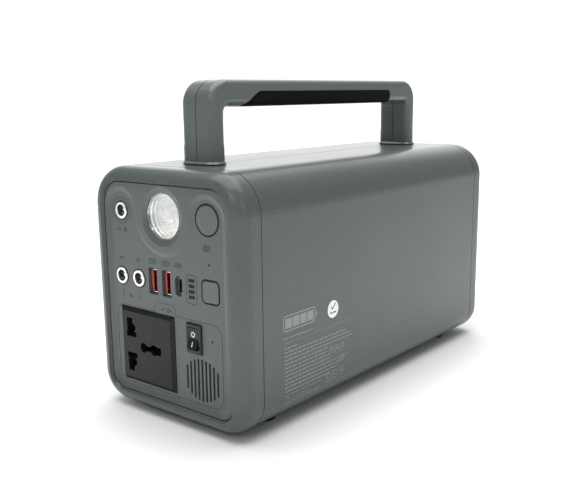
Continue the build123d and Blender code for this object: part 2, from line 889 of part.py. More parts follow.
def jack_pins():
    pins = []
    for x, height in jack_places:
        far = port_board_depth - jack_back - overrun - 2 * touch_gap
        pin = rod(x, height, jack_pin_radius, lower_level + jack_pin_setback, far)
        pins.append(fillet(pin.faces().sort_by(Axis.Y)[0].edges(), jack_pin_edge))
    return pins


def usb_near():
    return lower_level + usb_pocket_depth


def usb_bore(shell):
    """The width and height inside a USB shell."""
    return [size - 2 * usb_shell_wall for size in shell]


def usb_a_shells():
    near = usb_near() - usb_shell_lead
    shells = []
    for x in usb_a_x:
        shell = bar(x, usb_height, *usb_a_shell, near, port_board_depth - touch_gap)
        bore = bar(x, usb_height, *usb_bore(usb_a_shell), near - overrun, port_board_depth - overrun)
        shells.append(shell - bore)
    return shells


def usb_a_inserts():
    """The red insulator of each USB-A outlet: a back block, the tongue, and a lip on the other side."""
    wide, tall = (size - 2 * touch_gap for size in usb_bore(usb_a_shell))
    block_near, block_far = port_board_depth - usb_block, port_board_depth - overrun - touch_gap
    tongue_tall, lip_tall = tall - 4 * usb_shell_wall, tall - 2 * usb_shell_wall
    inserts = []
    for x in usb_a_x:
        block = bar(x, usb_height, wide, tall, block_near, block_far)
        tongue_x, lip_x = x + wide / 2 - usb_tongue / 2, x - wide / 2 + usb_lip / 2
        tongue = bar(tongue_x, usb_height, usb_tongue, tongue_tall, usb_near(), block_near + overrun)
        lip = bar(lip_x, usb_height, usb_lip, lip_tall, usb_near(), block_near + overrun)
        inserts.append(block + tongue + lip)
    return inserts


def usb_a_contacts():
    near, far = usb_near() + usb_contact_setback, port_board_depth - usb_block - touch_gap
    wide = usb_bore(usb_a_shell)[0] - 2 * touch_gap
    strips = []
    for x in usb_a_x:
        middle = x + wide / 2 - usb_tongue - usb_contact[0] / 2 - touch_gap
        for index in range(4):
            height = usb_height + (index - 1.5) * usb_contact_pitch
            strips.append(bar(middle, height, *usb_contact, near, far))
    return strips


def usb_c_shell_tube():
    near = usb_near() - usb_shell_lead
    place = Pos(usb_c_x, usb_height)
    shell = plate(place * stadium(*usb_c_shell), near, port_board_depth - touch_gap)
    bore = place * stadium(*usb_bore(usb_c_shell))
    return shell - plate(bore, near - overrun, port_board_depth - usb_block)


def usb_c_tongue():
    near, far = usb_near() + usb_c_blade_setback, port_board_depth - usb_block - touch_gap
    tongue = bar(usb_c_x, usb_height, *usb_c_blade, near, far)
    return fillet(tongue.faces().sort_by(Axis.Y)[0].edges().filter_by(Axis.Z), usb_c_blade_edge)


def level_windows():
    bars = []
    for height in level_heights():
        bars.append(bar(level_x, height, *level_bar, lower_level + slip_gap, panel_back + window_length))
    return bars


def status_windows():
    near, far = lower_level + slip_gap, panel_back + window_length
    return [rod(x, height, status_radius, near, far) for x, height in status_places]


def status_leds():
    """Small lamps on the port board behind each window that it covers."""
    places = [(level_x, height) for height in level_heights()] + [status_places[0]]
    near, far = port_board_depth - led_chip[1], port_board_depth - touch_gap
    return [bar(x, height, *led_chip, near, far) for x, height in places]


def port_board():
    far = port_board_depth + board_thickness
    span = (port_board_low, case_height - port_board_top_gap)
    board = brick((-port_board_half, port_board_half), (port_board_depth, far), span)
    board -= rod(lamp_x, lamp_height, port_board_window, port_board_depth - overrun, far + overrun)
    for x, height in board_screw_places:
        board -= rod(x, height, screw_radius + screw_gap, port_board_depth - overrun, far + overrun)
    return board


def board_pillars():
    """Spacers between the panel's back and the port board."""
    pillars = []
    for x, height in board_screw_places:
        pillar = rod(x, height, standoff_radius, panel_back + touch_gap, port_board_depth - touch_gap)
        bore_near = port_board_depth - board_screw_bite - overrun
        pillars.append(pillar - rod(x, height, screw_radius + thread_gap, bore_near, port_board_depth))
    return pillars


def port_board_screws():
    screws = []
    for x, height in board_screw_places:
        place = front * Pos(x, height, -(port_board_depth + board_thickness + touch_gap))
        screws.append(place * screw(board_thickness + board_screw_bite))
    return screws


# ---- mains socket ----
def socket_face():
    """The proud plate of the socket, with bevelled sides and the pin holes."""
    wide, tall = (size - 2 * socket_bevel for size in socket_side)
    top = Pos(socket_x, socket_height) * RectangleRounded(wide, tall, socket_corner)
    base = socket_outline(0)
    face = ramp(top, lower_level - socket_proud, base, lower_level)
    face += plate(base, lower_level, socket_face_depth)
    holes = Pos(socket_x, socket_height) * (pin_hole(1) + pin_hole(-1) + earth_hole())
    return face - plate(holes, 0, socket_face_depth + overrun)


def pin_pockets(shrink):
    """Square-cornered pockets behind the pin holes, as x, height, width and height of each."""
    grow = pocket_margin - shrink
    left = pin_column_x - pin_column[0] / 2 - pin_base_step - grow
    right = pin_column_x + pin_column[0] / 2 + pin_bulge_radius + grow
    low, high = pin_inner_height - grow, pin_inner_height + pin_base[1] + pin_column[1] + grow
    pockets = []
    for side in (1, -1):
        pockets.append(((left + right) / 2, side * (low + high) / 2, right - left, high - low))
    left, right = earth_small[0] - earth_small[1] - grow, earth_slot_end + grow
    pockets.append(((left + right) / 2, 0.0, right - left, 2 * (earth_large[1] + grow)))
    return [(socket_x + x, socket_height + height, wide, tall) for x, height, wide, tall in pockets]


def socket_body():
    """The socket's back housing, with a square pocket behind each hole."""
    near = socket_face_depth + socket_joint
    wide, tall = (size - 2 * socket_body_inset for size in socket_side)
    body = bar(socket_x, socket_height, wide, tall, near, socket_body_depth)
    body = fillet(body.edges().filter_by(Axis.Y), socket_body_corner)
    for x, height, wide, tall in pin_pockets(0):
        body -= bar(x, height, wide, tall, near - overrun, pin_pocket_depth)
    return body


def socket_contacts():
    """A folded brass clip in the bottom of each pin pocket."""
    clips = []
    for x, height, wide, tall in pin_pockets(pocket_margin):
        clip = bar(x, height, wide, tall, contact_start, pin_pocket_depth - touch_gap)
        inner = (wide - 2 * contact_thickness, tall - 2 * contact_thickness)
        far = pin_pocket_depth - contact_thickness
        clips.append(clip - bar(x, height, *inner, contact_start - overrun, far))
    return clips


# ---- rocker switch ----

def switch_housing():
    """The switch's frame and body, with a bore through both cheeks for the rocker's pins."""
    bezel = Pos(switch_x, switch_height) * RectangleRounded(*switch_bezel, switch_corner)
    housing = plate(bezel, lower_level - switch_proud, lower_level - touch_gap)
    housing = chamfer(housing.faces().sort_by(Axis.Y)[0].edges(), switch_corner)
    housing += bar(switch_x, switch_height, *switch_body, lower_level - overrun, switch_depth)
    floor = rocker_pivot + rocker_radius + rocker_floor_gap
    housing -= bar(switch_x, switch_height, *switch_window, 0, floor)
    pin_line = Pos(switch_x, front_y + rocker_pivot, foot_height + switch_height) * Rot(Y=90)
    bore_length = switch_window[0] + 2 * rocker_pin_reach + rocker_gap
    return housing - pin_line * Cylinder(rocker_pin_radius + rocker_pin_clearance, bore_length)


def switch_rocker():
    """The rocker at rest: its upper end pressed in, its lower end proud, turned by half its throw."""
    wide = switch_window[0] - 2 * rocker_gap
    drum = Rot(Y=90) * Cylinder(rocker_radius, wide)
    reach = rocker_radius + overrun
    tip = -rocker_rise - reach * tan(radians(rocker_throw / 2))
    corners = [(-reach, tip), (0, -rocker_rise), (reach, tip), (reach, rocker_back), (-reach, rocker_back)]
    faces = Polyline(*corners, close=True)
    section = Plane(origin=(-wide / 2, 0, 0), x_dir=(0, 0, 1), z_dir=(-1, 0, 0)) * make_face(faces)
    rocker = drum & extrude(section, amount=-wide)
    rocker += Rot(Y=90) * Cylinder(rocker_pin_radius, switch_window[0] + 2 * rocker_pin_reach)
    place = Pos(switch_x, front_y + rocker_pivot, foot_height + switch_height)
    return place * Rot(X=-rocker_throw / 2) * rocker


def switch_terminals():
    blades = []
    near = switch_depth + touch_gap
    for offset in (-terminal_offset, terminal_offset):
        blades.append(bar(switch_x, switch_height + offset, *terminal, near, near + terminal_length))
    return blades


# ---- fan ----
def fan_near():
    return panel_back + fan_setback


def fan_frame():
    """A square frame with a round duct, and arms that hold the hub plate and its axle."""
    near, far = fan_near(), fan_near() + fan_depth
    place = Pos(fan_x, fan_height)
    outline = place * RectangleRounded(fan_side, fan_side, fan_corner)
    frame = plate(outline, near, far) - rod(fan_x, fan_height, fan_bore, near - overrun, far + overrun)
    frame += rod(fan_x, fan_height, fan_hub, far - fan_arm_thickness, far)
    for angle in fan_arm_angles:
        reach = fan_bore + overrun
        arm = place * Rot(Z=angle) * Pos(reach / 2, 0) * Rectangle(reach, fan_arm)
        frame += plate(arm, far - fan_arm_thickness, far)
    for x, height in fan_screw_places():
        frame -= rod(x, height, screw_radius + screw_gap, near - overrun, far + overrun)
    axle_near, axle_far = near + fan_depth / 3, far - fan_arm_thickness / 2
    return frame + rod(fan_x, fan_height, fan_axle - fan_axle_clearance, axle_near, axle_far)


def fan_screw_places():
    offset = fan_side / 2 - fan_screw_inset
    return [(fan_x + i * offset, fan_height + j * offset) for i in (-1, 1) for j in (-1, 1)]


def fan_screws():
    screws = []
    for x, height in fan_screw_places():
        place = front * Pos(x, height, -(fan_near() + fan_depth + touch_gap))
        screws.append(place * screw(fan_depth + fan_screw_bite))
    return screws


def fan_rotor():
    """The hub cup, and blades set at a pitch, each a slanted plate."""
    near, far = fan_setback, fan_depth - fan_arm_thickness - fan_running_gap
    middle = Pos(0, 0, -(near + far) / 2)
    hub = middle * Cylinder(fan_hub - fan_running_gap, far - near)
    rotor = fillet(hub.faces().sort_by(Axis.Z)[-1].edges(), fan_blade[1])
    reach = fan_blade_tip - fan_hub + 2 * fan_running_gap
    blade_middle = Pos(fan_blade_tip - reach / 2, 0, 0)
    blade = middle * blade_middle * Rot(X=fan_blade_pitch) * Box(reach, *fan_blade)
    for index in range(fan_blades):
        rotor += Rot(Z=index * 360 / fan_blades) * blade
    rotor &= middle * Cylinder(fan_blade_tip, far - near)
    rotor -= Cylinder(fan_axle, 4 * fan_depth)
    return front * Pos(fan_x, fan_height, -fan_near()) * rotor


# ---- inverter and charger ----
def inverter_board():
    near, far = inverter_depths
    span = (inverter_board_height, inverter_board_height + board_thickness)
    board = brick((-inverter_half, inverter_half), (near, far), span)
    for x, depth in inverter_post_places():
        board -= post(x, depth, screw_radius + screw_gap, span[0] - overrun, span[1] + overrun)
    return board


def inverter_post_places():
    near, far = inverter_depths
    depths = (near + inverter_post_inset, far - inverter_post_inset)
    return [(side * inverter_post_x, depth) for side in (-1, 1) for depth in depths]


def inverter_posts():
    """Short pillars on the case's floor, bored for the board's screws."""
    top = inverter_board_height
    posts = []
    for x, depth in inverter_post_places():
        pillar = post(x, depth, standoff_radius, wall + touch_gap, top - touch_gap)
        bore_low = top - board_screw_bite - overrun
        posts.append(pillar - post(x, depth, screw_radius + thread_gap, bore_low, top))
    return posts


def inverter_screws():
    screws = []
    for x, depth in inverter_post_places():
        place = Pos(x, front_y + depth, foot_height + board_top()) * Rot(X=180)
        screws.append(place * screw(board_thickness + board_screw_bite))
    return screws


def board_top():
    return inverter_board_height + board_thickness + touch_gap


def heat_sinks():
    """A finned plate along each side of the inverter board, fins outwards."""
    depths = (inverter_depths[0] + sink_end_gap, inverter_depths[1] - sink_end_gap)
    low, high = board_top(), board_top() + sink_height
    sink = brick(sink_span, depths, (low, high))
    pitch = (sink_height - 2 * overrun - sink_fin) / (sink_fins - 1)
    for index in range(sink_fins):
        height = low + overrun + index * pitch
        sink += brick((sink_span[1] - overrun, sink_tip), depths, (height, height + sink_fin))
    return [sink, mirrored(sink)]


def transistors():
    """Power transistors standing against the inner face of each heat sink."""
    thick, long, tall = transistor_size
    near = inverter_depths[0] + sink_end_gap + long / 2
    low = board_top() + transformer_yoke / 2
    parts = []
    for side in (-1, 1):
        x_span = sorted((side * (sink_span[0] - gasket_gap - thick), side * (sink_span[0] - gasket_gap)))
        for index in range(transistor_count):
            depth = near + index * transistor_pitch
            parts.append(brick(x_span, (depth - long / 2, depth + long / 2), (low, low + tall)))
    return parts


def transformer_core():
    half_wide, half_long = transformer_half
    depths = (transformer_depth - half_long, transformer_depth + half_long)
    core = brick((-half_wide, half_wide), depths, (board_top(), board_top() + transformer_height))
    through = (depths[0] - overrun, depths[1] + overrun)
    span = (board_top() + transformer_yoke, board_top() + transformer_height - transformer_yoke)
    window = brick(transformer_window, through, span)
    return core - window - mirrored(window)


def transformer_winding():
    """The coil round the core's middle limb."""
    near, far = transformer_window
    half_long = transformer_half[1]
    low, high = board_top() + transformer_yoke, board_top() + transformer_height - transformer_yoke
    half_wide, reach = far - winding_gap, half_long + transformer_bulge
    span = (low + winding_gap, high - winding_gap)
    coil = brick((-half_wide, half_wide), (transformer_depth - reach, transformer_depth + reach), span)
    coil = fillet(coil.edges().filter_by(Axis.Z), winding_corner)
    half_limb, limb_reach = near + winding_gap, half_long + winding_gap
    limb_depths = (transformer_depth - limb_reach, transformer_depth + limb_reach)
    return coil - brick((-half_limb, half_limb), limb_depths, (low - overrun, high + overrun))


def capacitors():
    parts = []
    for x in capacitor_x:
        can = post(x, capacitor_depth, capacitor_radius, board_top(), board_top() + capacitor_height)
        parts.append(fillet(can.faces().sort_by(Axis.Z)[-1].edges(), capacitor_edge))
    return parts


def charger_board():
    span = (charger_board_height, charger_board_height + board_thickness)
    board = brick((-charger_half, charger_half), inverter_depths, span)
    for x, depth in charger_post_places():
        board -= post(x, depth, screw_radius + screw_gap, span[0] - overrun, span[1] + overrun)
    return board


def charger_post_places():
    near = inverter_depths[0]
    return [(side * x, near + depth) for side in (-1, 1) for x, depth in charger_post_offsets]


def charger_posts():
    """Tall spacers that carry the charger board over the inverter."""
    span = (board_top(), charger_board_height - touch_gap)
    return [post(x, depth, charger_post_radius, *span) for x, depth in charger_post_places()]


def inductors():
    """Two wound rings lying on the charger board, flat above and below."""
    low = charger_board_height + board_thickness + touch_gap
    reach = inductor_ring + inductor_coil + overrun
    rings = []
    for x in (-inductor_x, inductor_x):
        ring = Pos(x, front_y + inductor_depth, foot_height + low + inductor_height / 2)
        ring *= Torus(inductor_ring, inductor_coil)
        depths = (inductor_depth - reach, inductor_depth + reach)
        rings.append(ring & brick((x - reach, x + reach), depths, (low, low + inductor_height)))
    return rings


# ---- battery ----
def cell_places():
    """Each cell's depth and height."""
    depths = [cell_first_depth + column * cell_pitch for column in range(cell_columns)]
    heights = [cell_first_height + row * cell_pitch for row in range(cell_rows)]
    return [(depth, height) for depth in depths for height in heights]


def lying(depth, height, radius, x_low, x_high):
    """A round bar along X."""
    middle = Pos((x_low + x_high) / 2, front_y + depth, foot_height + height)
    return middle * Rot(Y=90) * Cylinder(radius, x_high - x_low)


def battery_cells():
    half = cell_length / 2
    return [lying(depth, height, cell_radius, -half, half) for depth, height in cell_places()]


def pack_span():
    """The battery's outer limits in depth and height."""
    margin = cell_pitch / 2 + holder_margin
    deep = (cell_first_depth - margin, cell_first_depth + (cell_columns - 1) * cell_pitch + margin)
    tall = (cell_first_height - margin, cell_first_height + (cell_rows - 1) * cell_pitch + margin)
    return deep, tall


def cell_holder():
    """The right-hand plate that the cells' ends sit in, with a window over each end."""
    deep, tall = pack_span()
    outer = cell_length / 2 + holder_web
    inner, seat = outer - holder_thickness, outer - holder_web + touch_gap
    cuts = []
    for depth, height in cell_places():
        cuts.append(lying(depth, height, cell_radius + cell_clearance, inner - overrun, seat))
        cuts.append(lying(depth, height, cell_radius - holder_window_lip, seat - overrun, outer + overrun))
    return brick((inner, outer), deep, tall) - Compound(children=cuts)


def connecting_strips():
    """Nickel strips along each row of cell ends, on both sides."""
    outer = cell_length / 2 + holder_web + touch_gap
    near, far = pack_span()[0]
    depths = (near + strip_end_gap, far - strip_end_gap)
    strips = []
    for row in range(cell_rows):
        height = cell_first_height + row * cell_pitch
        span = (height - strip_width / 2, height + strip_width / 2)
        strip = brick((outer, outer + strip_thickness), depths, span)
        strips += [strip, mirrored(strip)]
    return strips


def battery_tray():
    """A plate under the battery with a rail along each side, that rests on the case's floor."""
    (near, far), (pack_low, _) = pack_span()
    low = wall + touch_gap
    depths = (near - tray_thickness, far + tray_thickness)
    tray = brick((-tray_half, tray_half), depths, (low, pack_low - gasket_gap))
    half = tray_half - tray_rail
    hollow = (low + tray_thickness, pack_low + overrun)
    return tray - brick((-half, half), (near + tray_rail, far - tray_rail), hollow)


def guard_board_depths():
    """The front and back of the cells' protection board."""
    back = pack_span()[0][0] - guard_board_gap
    return back - board_thickness, back


def battery_board():
    """The cells' protection board, on the pack's front face."""
    low = pack_span()[1][0]
    span = (low + guard_board_span[0], low + guard_board_span[1])
    return brick((-guard_board_half, guard_board_half), guard_board_depths(), span)


def battery_board_parts():
    """The protection board's row of transistors."""
    wide, thick, tall = guard_part
    face = guard_board_depths()[0] - touch_gap
    low = pack_span()[1][0] + guard_part_rise
    parts = []
    for index in range(guard_part_count):
        x = (index - (guard_part_count - 1) / 2) * guard_part_pitch
        parts.append(brick((x - wide / 2, x + wide / 2), (face - thick, face), (low, low + tall)))
    return parts


def board_clips():
    """Foam blocks between the protection board and the cell holders."""
    (near, _), (low, _) = pack_span()
    depths = (guard_board_depths()[1] + touch_gap, near - touch_gap)
    span = (low + clip_span[0], low + clip_span[1])
    clip = brick((clip_x - clip_wide / 2, clip_x + clip_wide / 2), depths, span)
    return [clip, mirrored(clip)]


# ---- leads ----
def lead(points, radius, bend):
    """A round wire along straight runs joined by arcs; the points are x, depth and height."""
    places = [(x, front_y + depth, foot_height + height) for x, depth, height in points]
    path = FilletPolyline(*places, radius=bend)
    start = Plane(origin=path @ 0, z_dir=path % 0)
    return sweep(start * Circle(radius), path=path)


def battery_leads():
    """The wires from the protection board down to the inverter board."""
    start = guard_board_depths()[0] - gasket_gap
    top, low = pack_span()[1][0] + battery_lead_rise, board_top() + gasket_gap
    wires = []
    for x in battery_lead_x:
        route = [(x, start, top), (x, battery_lead_depth, top), (x, battery_lead_depth, low)]
        wires.append(lead(route, battery_lead_radius, battery_lead_bend))
    return wires


def socket_leads():
    """Two insulated wires from the mains socket's back down to the inverter board."""
    near, low = socket_body_depth + gasket_gap, board_top() + gasket_gap
    wires = []
    for offset, height in socket_lead_ends:
        x = socket_x + offset
        route = [(x, near, height), (x, socket_lead_depth, height), (x, socket_lead_depth, low)]
        wires.append(lead(route, socket_lead_radius, socket_lead_bend))
    return wires


right_shell = half_shell()
right_handle = handle_half()
right_holder = cell_holder()

save("front_bezel", front_bezel())
save("front_panel", front_panel())
save("shell_right", right_shell)
save("shell_left", mirrored(right_shell))
save("rear_cover", rear_cover())
save("rubber_feet", *feet())
save("handle_right", right_handle)
save("handle_left", mirrored(right_handle))
save("handle_grip", handle_grip())
save("handle_gaskets", *handle_gaskets())
save("handle_screws", *handle_screws())
save("tie_bolts", *tie_bolts())
save("panel_screws", *panel_screws())
save("lamp_lens", lamp_lens())
save("lamp_reflector", lamp_reflector())
save("lamp_board", lamp_board())
save("lamp_led", lamp_led())
save("light_button", light_button())
save("power_button", power_button())
save("tact_switches", *tact_switches())
save("jack_bodies", *jack_bodies())
save("jack_sleeves", *jack_sleeves())
save("jack_pins", *jack_pins())
save("usb_a_shells", *usb_a_shells())
save("usb_a_inserts", *usb_a_inserts())
save("usb_a_contacts", *usb_a_contacts())
save("usb_c_shell", usb_c_shell_tube())
save("usb_c_tongue", usb_c_tongue())
save("level_windows", *level_windows())
save("status_windows", *status_windows())
save("indicator_leds", *status_leds())
save("port_board", port_board())
save("board_pillars", *board_pillars())
save("board_screws", *port_board_screws(), *inverter_screws())
save("socket_face", socket_face())
save("socket_body", socket_body())
save("socket_contacts", *socket_contacts())
save("switch_housing", switch_housing())
save("switch_rocker", switch_rocker())
save("switch_terminals", *switch_terminals())
save("fan_frame", fan_frame())
save("fan_rotor", fan_rotor())
save("fan_screws", *fan_screws())
save("inverter_board", inverter_board())
save("board_posts", *inverter_posts(), *charger_posts())
save("heat_sinks", *heat_sinks())
save("transistors", *transistors())
save("transformer_core", transformer_core())
save("transformer_winding", transformer_winding())
save("capacitors", *capacitors())
save("charger_board", charger_board())
save("inductors", *inductors())
save("battery_cells", *battery_cells())
save("cell_holders", right_holder, mirrored(right_holder))
save("connecting_strips", *connecting_strips())
save("battery_tray", battery_tray())
save("battery_board", battery_board())
save("battery_board_parts", *battery_board_parts(), *board_clips())
save("battery_leads", *battery_leads())
save("socket_leads", *socket_leads())
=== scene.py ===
"""A portable power station with a carrying handle: the finish of each part, the printing on its panel
and side, the faceted lamp bowl, the studded grip, and the studio that it stands in."""
from math import cos, pi, radians, sin, tau

import bmesh
import bpy
from mathutils import Matrix, Vector
from mathutils.bvhtree import BVHTree
from mathutils.geometry import convex_hull_2d


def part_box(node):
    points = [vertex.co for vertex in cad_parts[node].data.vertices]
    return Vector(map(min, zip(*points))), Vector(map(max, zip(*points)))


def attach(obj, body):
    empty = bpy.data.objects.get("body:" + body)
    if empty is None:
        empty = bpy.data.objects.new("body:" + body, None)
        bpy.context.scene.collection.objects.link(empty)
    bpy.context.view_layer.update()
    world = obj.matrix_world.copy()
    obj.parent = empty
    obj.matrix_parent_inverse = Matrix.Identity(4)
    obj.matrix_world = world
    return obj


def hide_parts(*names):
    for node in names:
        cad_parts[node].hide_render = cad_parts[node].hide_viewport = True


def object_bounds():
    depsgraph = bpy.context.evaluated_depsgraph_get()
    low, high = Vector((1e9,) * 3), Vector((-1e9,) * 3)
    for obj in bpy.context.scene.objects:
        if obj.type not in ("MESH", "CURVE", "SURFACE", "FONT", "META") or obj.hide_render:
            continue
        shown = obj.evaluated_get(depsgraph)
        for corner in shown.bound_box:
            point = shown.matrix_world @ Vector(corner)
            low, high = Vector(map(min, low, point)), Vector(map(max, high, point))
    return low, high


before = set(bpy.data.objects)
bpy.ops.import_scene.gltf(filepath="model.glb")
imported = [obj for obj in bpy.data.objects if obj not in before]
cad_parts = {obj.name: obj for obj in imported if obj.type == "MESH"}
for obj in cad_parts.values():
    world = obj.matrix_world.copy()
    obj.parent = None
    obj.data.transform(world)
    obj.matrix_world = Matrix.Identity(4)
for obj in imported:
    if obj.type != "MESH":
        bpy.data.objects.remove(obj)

cad_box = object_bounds()
MM = 0.001

# ---------------------------------------------------------------- sizes and places, in metres

ink_thickness = 0.05 * MM
ink_lift = 0.015 * MM
well_step = 1.0 * MM
hair_line = 0.32 * MM
fine_line = 0.5 * MM
icon_line = 0.58 * MM
# Width of the painted shadow line in the joints round the buttons.
button_joint_shadow_line = 0.8 * MM
# Width of the painted shadow line in the joint round the panel.
panel_joint_shadow_line = 0.7 * MM
button_flange = 1.2 * MM
sticker_radius = 5.3 * MM
sticker_place = (78.8 * MM, 60.6 * MM)

case = "case"


def low(node):
    return Vector(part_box(node)[0])


def high(node):
    return Vector(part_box(node)[1])


def middle(node):
    return (low(node) + high(node)) / 2


def welded(node):
    """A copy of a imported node's mesh with its split corners joined."""
    body = bmesh.new()
    body.from_mesh(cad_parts[node].data)
    bmesh.ops.remove_doubles(body, verts=body.verts, dist=1e-6)
    return body


def solid_centres(node):
    """The centres of the separate solids of a node, from left to right."""
    body = welded(node)
    seen, centres = set(), []
    for start in body.verts:
        if start.index in seen:
            continue
        seen.add(start.index)
        group, waiting = [], [start]
        while waiting:
            corner = waiting.pop()
            group.append(corner.co.copy())
            for edge in corner.link_edges:
                other = edge.other_vert(corner)
                if other.index not in seen:
                    seen.add(other.index)
                    waiting.append(other)
        box_low = Vector(min(p[i] for p in group) for i in range(3))
        box_high = Vector(max(p[i] for p in group) for i in range(3))
        centres.append((box_low + box_high) / 2)
    body.free()
    return sorted(centres, key=lambda p: (round(p.x, 4), p.z))


# ---------------------------------------------------------------- shader wiring


class Wire:
    """An output socket that takes part in Python sums, each of which adds a Math node."""

    def __init__(self, finish, socket):
        self.finish, self.socket = finish, socket

    def sum(self, operation, *values):
        return self.finish.node("ShaderNodeMath", {"operation": operation}, dict(enumerate(values)))

    def __add__(self, other):
        return self.sum("ADD", self, other)

    def __sub__(self, other):
        return self.sum("SUBTRACT", self, other)

    def __mul__(self, other):
        return self.sum("MULTIPLY", self, other)

    def __truediv__(self, other):
        return self.sum("DIVIDE", self, other)

    def __gt__(self, other):
        return self.sum("GREATER_THAN", self, other)

    def __lt__(self, other):
        return self.sum("LESS_THAN", self, other)

    def __pow__(self, other):
        return self.sum("POWER", self, other)

    def __abs__(self):
        return self.sum("ABSOLUTE", self)

    def __mod__(self, other):
        return self.sum("FLOORED_MODULO", self, other)

    def either(self, other):
        return self.sum("MAXIMUM", self, other)

    def sine(self):
        return self.sum("SINE", self)

    def eased(self, start, end):
        """0 below start, 1 above end, with a smooth step between."""
        ranges = {"Value": self, "From Min": start, "From Max": end}
        return self.finish.node("ShaderNodeMapRange", {"interpolation_type": "SMOOTHSTEP"}, ranges)


class Finish:
    """One material: a Principled shader whose plain values are set at once, and what is wired to it."""

    def __init__(self, name, tree=None, **values):
        self.material = None
        if tree is None:
            self.material = bpy.data.materials.new(name)
            self.material.use_nodes = True
            tree = self.material.node_tree
        self.tree = tree
        tree.nodes.clear()
        if self.material:
            self.output = tree.nodes.new("ShaderNodeOutputMaterial")
            self.shader = tree.nodes.new("ShaderNodeBsdfPrincipled")
            tree.links.new(self.shader.outputs[0], self.output.inputs["Surface"])
            for words, value in values.items():
                self.shader.inputs[words.replace("_", " ")].default_value = value

    def node(self, kind, settings=None, sockets=None, output=0):
        """A node of that kind: its settings first, then the values or wires of its sockets."""
        made = self.tree.nodes.new(kind)
        for name, value in (settings or {}).items():
            setattr(made, name, value)
        for name, value in (sockets or {}).items():
            if isinstance(value, Wire):
                self.tree.links.new(value.socket, made.inputs[name])
            else:
                made.inputs[name].default_value = value
        return Wire(self, made.outputs[output])

    def place(self, axis=None):
        """The point on the surface in the part's own frame, or one of its coordinates."""
        point = self.node("ShaderNodeTexCoord", {}, {}, "Object")
        if axis is None:
            return point
        return self.node("ShaderNodeSeparateXYZ", {}, {"Vector": point}, axis)

    def stretched(self, across, along, up):
        """The point with each direction scaled, for grain that runs one way."""
        scale = (across, along, up)
        settings = {"operation": "MULTIPLY"}
        return self.node("ShaderNodeVectorMath", settings, {0: self.place(), 1: scale})

    def noise(self, scale, detail=2.0, rough=0.5, point=None):
        sockets = {"Vector": point or self.place(), "Scale": scale, "Detail": detail, "Roughness": rough}
        return self.node("ShaderNodeTexNoise", {}, sockets, "Fac")

    def blend(self, share, first, second):
        settings = {"data_type": "RGBA"}
        return self.node("ShaderNodeMix", settings, {0: share, 6: first, 7: second}, 2)

    def feed(self, **wires):
        for words, wire in wires.items():
            self.tree.links.new(wire.socket, self.shader.inputs[words.replace("_", " ")])
        return self

    def relief(self, height, strength, depth):
        """Feeds the shader's normal from a height between 0 and 1, depth metres deep."""
        sockets = {"Height": height, "Strength": strength, "Distance": depth}
        return self.feed(Normal=self.node("ShaderNodeBump", {}, sockets))


def shade(red, green, blue):
    return (red, green, blue, 1.0)


def grey(level):
    return shade(level, level, level)


def scaled(colour, factor):
    return tuple(min(1.0, part * factor) for part in colour[:3]) + (1.0,)


# ---------------------------------------------------------------- plastic finishes

case_grey = shade(0.081, 0.097, 0.094)
panel_grey = shade(0.073, 0.088, 0.087)


def moulded_plastic(name, colour, rough, grain, depth, coat, coat_rough, fleck=0.05, gloss=0.5):
    """Spark-eroded moulded plastic: a fine even grain, faint flow clouds and light flecks."""
    finish = Finish(name, Coat_Roughness=coat_rough, Coat_IOR=1.46, IOR=1.48, Specular_IOR_Level=gloss)
    clouds = finish.noise(14.0, 3.0)
    texture = finish.noise(grain, 2.0, 0.6)
    flecks = finish.noise(grain * 0.8, 1.0, 0.4, finish.stretched(1.0, 1.0, 1.3)).eased(0.46, 0.66)
    base = finish.blend(clouds.eased(0.3, 0.7), scaled(colour, 0.96), scaled(colour, 1.05))
    base = finish.blend(flecks * fleck, base, shade(0.42, 0.44, 0.44))
    base = finish.blend(texture.eased(0.35, 0.20) * 0.18, base, scaled(colour, 0.55))
    finish.feed(Base_Color=base, Roughness=clouds * 0.07 + texture * 0.06 + (rough - 0.065))
    finish.feed(Coat_Weight=texture * coat * 0.4 + coat * 0.8)
    return finish.relief(texture * 0.7 + clouds * 0.3, 0.35, depth * MM)


def case_plastic():
    look = {"grain": 1700.0, "depth": 0.015, "coat": 0.17, "coat_rough": 0.05, "gloss": 0.26}
    return moulded_plastic("case_plastic", case_grey, 0.33, **look)


def handle_plastic():
    look = {"grain": 1700.0, "depth": 0.03, "coat": 0.24, "coat_rough": 0.12}
    return moulded_plastic("handle_plastic", scaled(case_grey, 1.22), 0.36, **look)


def panel_plastic():
    look = {"grain": 2300.0, "depth": 0.03, "coat": 0.16, "coat_rough": 0.22}
    return moulded_plastic("panel_plastic", panel_grey, 0.42, **look)


def button_plastic():
    look = {"grain": 1700.0, "depth": 0.05, "coat": 0.2, "coat_rough": 0.2, "fleck": 0.09}
    return moulded_plastic("button_plastic", scaled(panel_grey, 1.04), 0.40, **look)


def socket_plastic():
    look = {"grain": 1900.0, "depth": 0.03, "coat": 0.03, "coat_rough": 0.2, "fleck": 0.02, "gloss": 0.20}
    return moulded_plastic("socket_plastic", shade(0.008, 0.0085, 0.009), 0.38, **look)


def black_plastic():
    look = {"grain": 2200.0, "depth": 0.02, "coat": 0.1, "coat_rough": 0.15, "fleck": 0.02, "gloss": 0.3}
    return moulded_plastic("black_plastic", shade(0.006, 0.006, 0.0065), 0.33, **look)


def white_nylon():
    finish = Finish("white_nylon", Subsurface_Weight=0.12, IOR=1.52)
    clouds = finish.noise(160.0, 3.0)
    base = finish.blend(clouds, shade(0.70, 0.69, 0.64), shade(0.80, 0.79, 0.75))
    finish.feed(Base_Color=base, Roughness=clouds * 0.12 + 0.36)
    return finish.relief(finish.noise(1500.0), 0.25, 0.03 * MM)


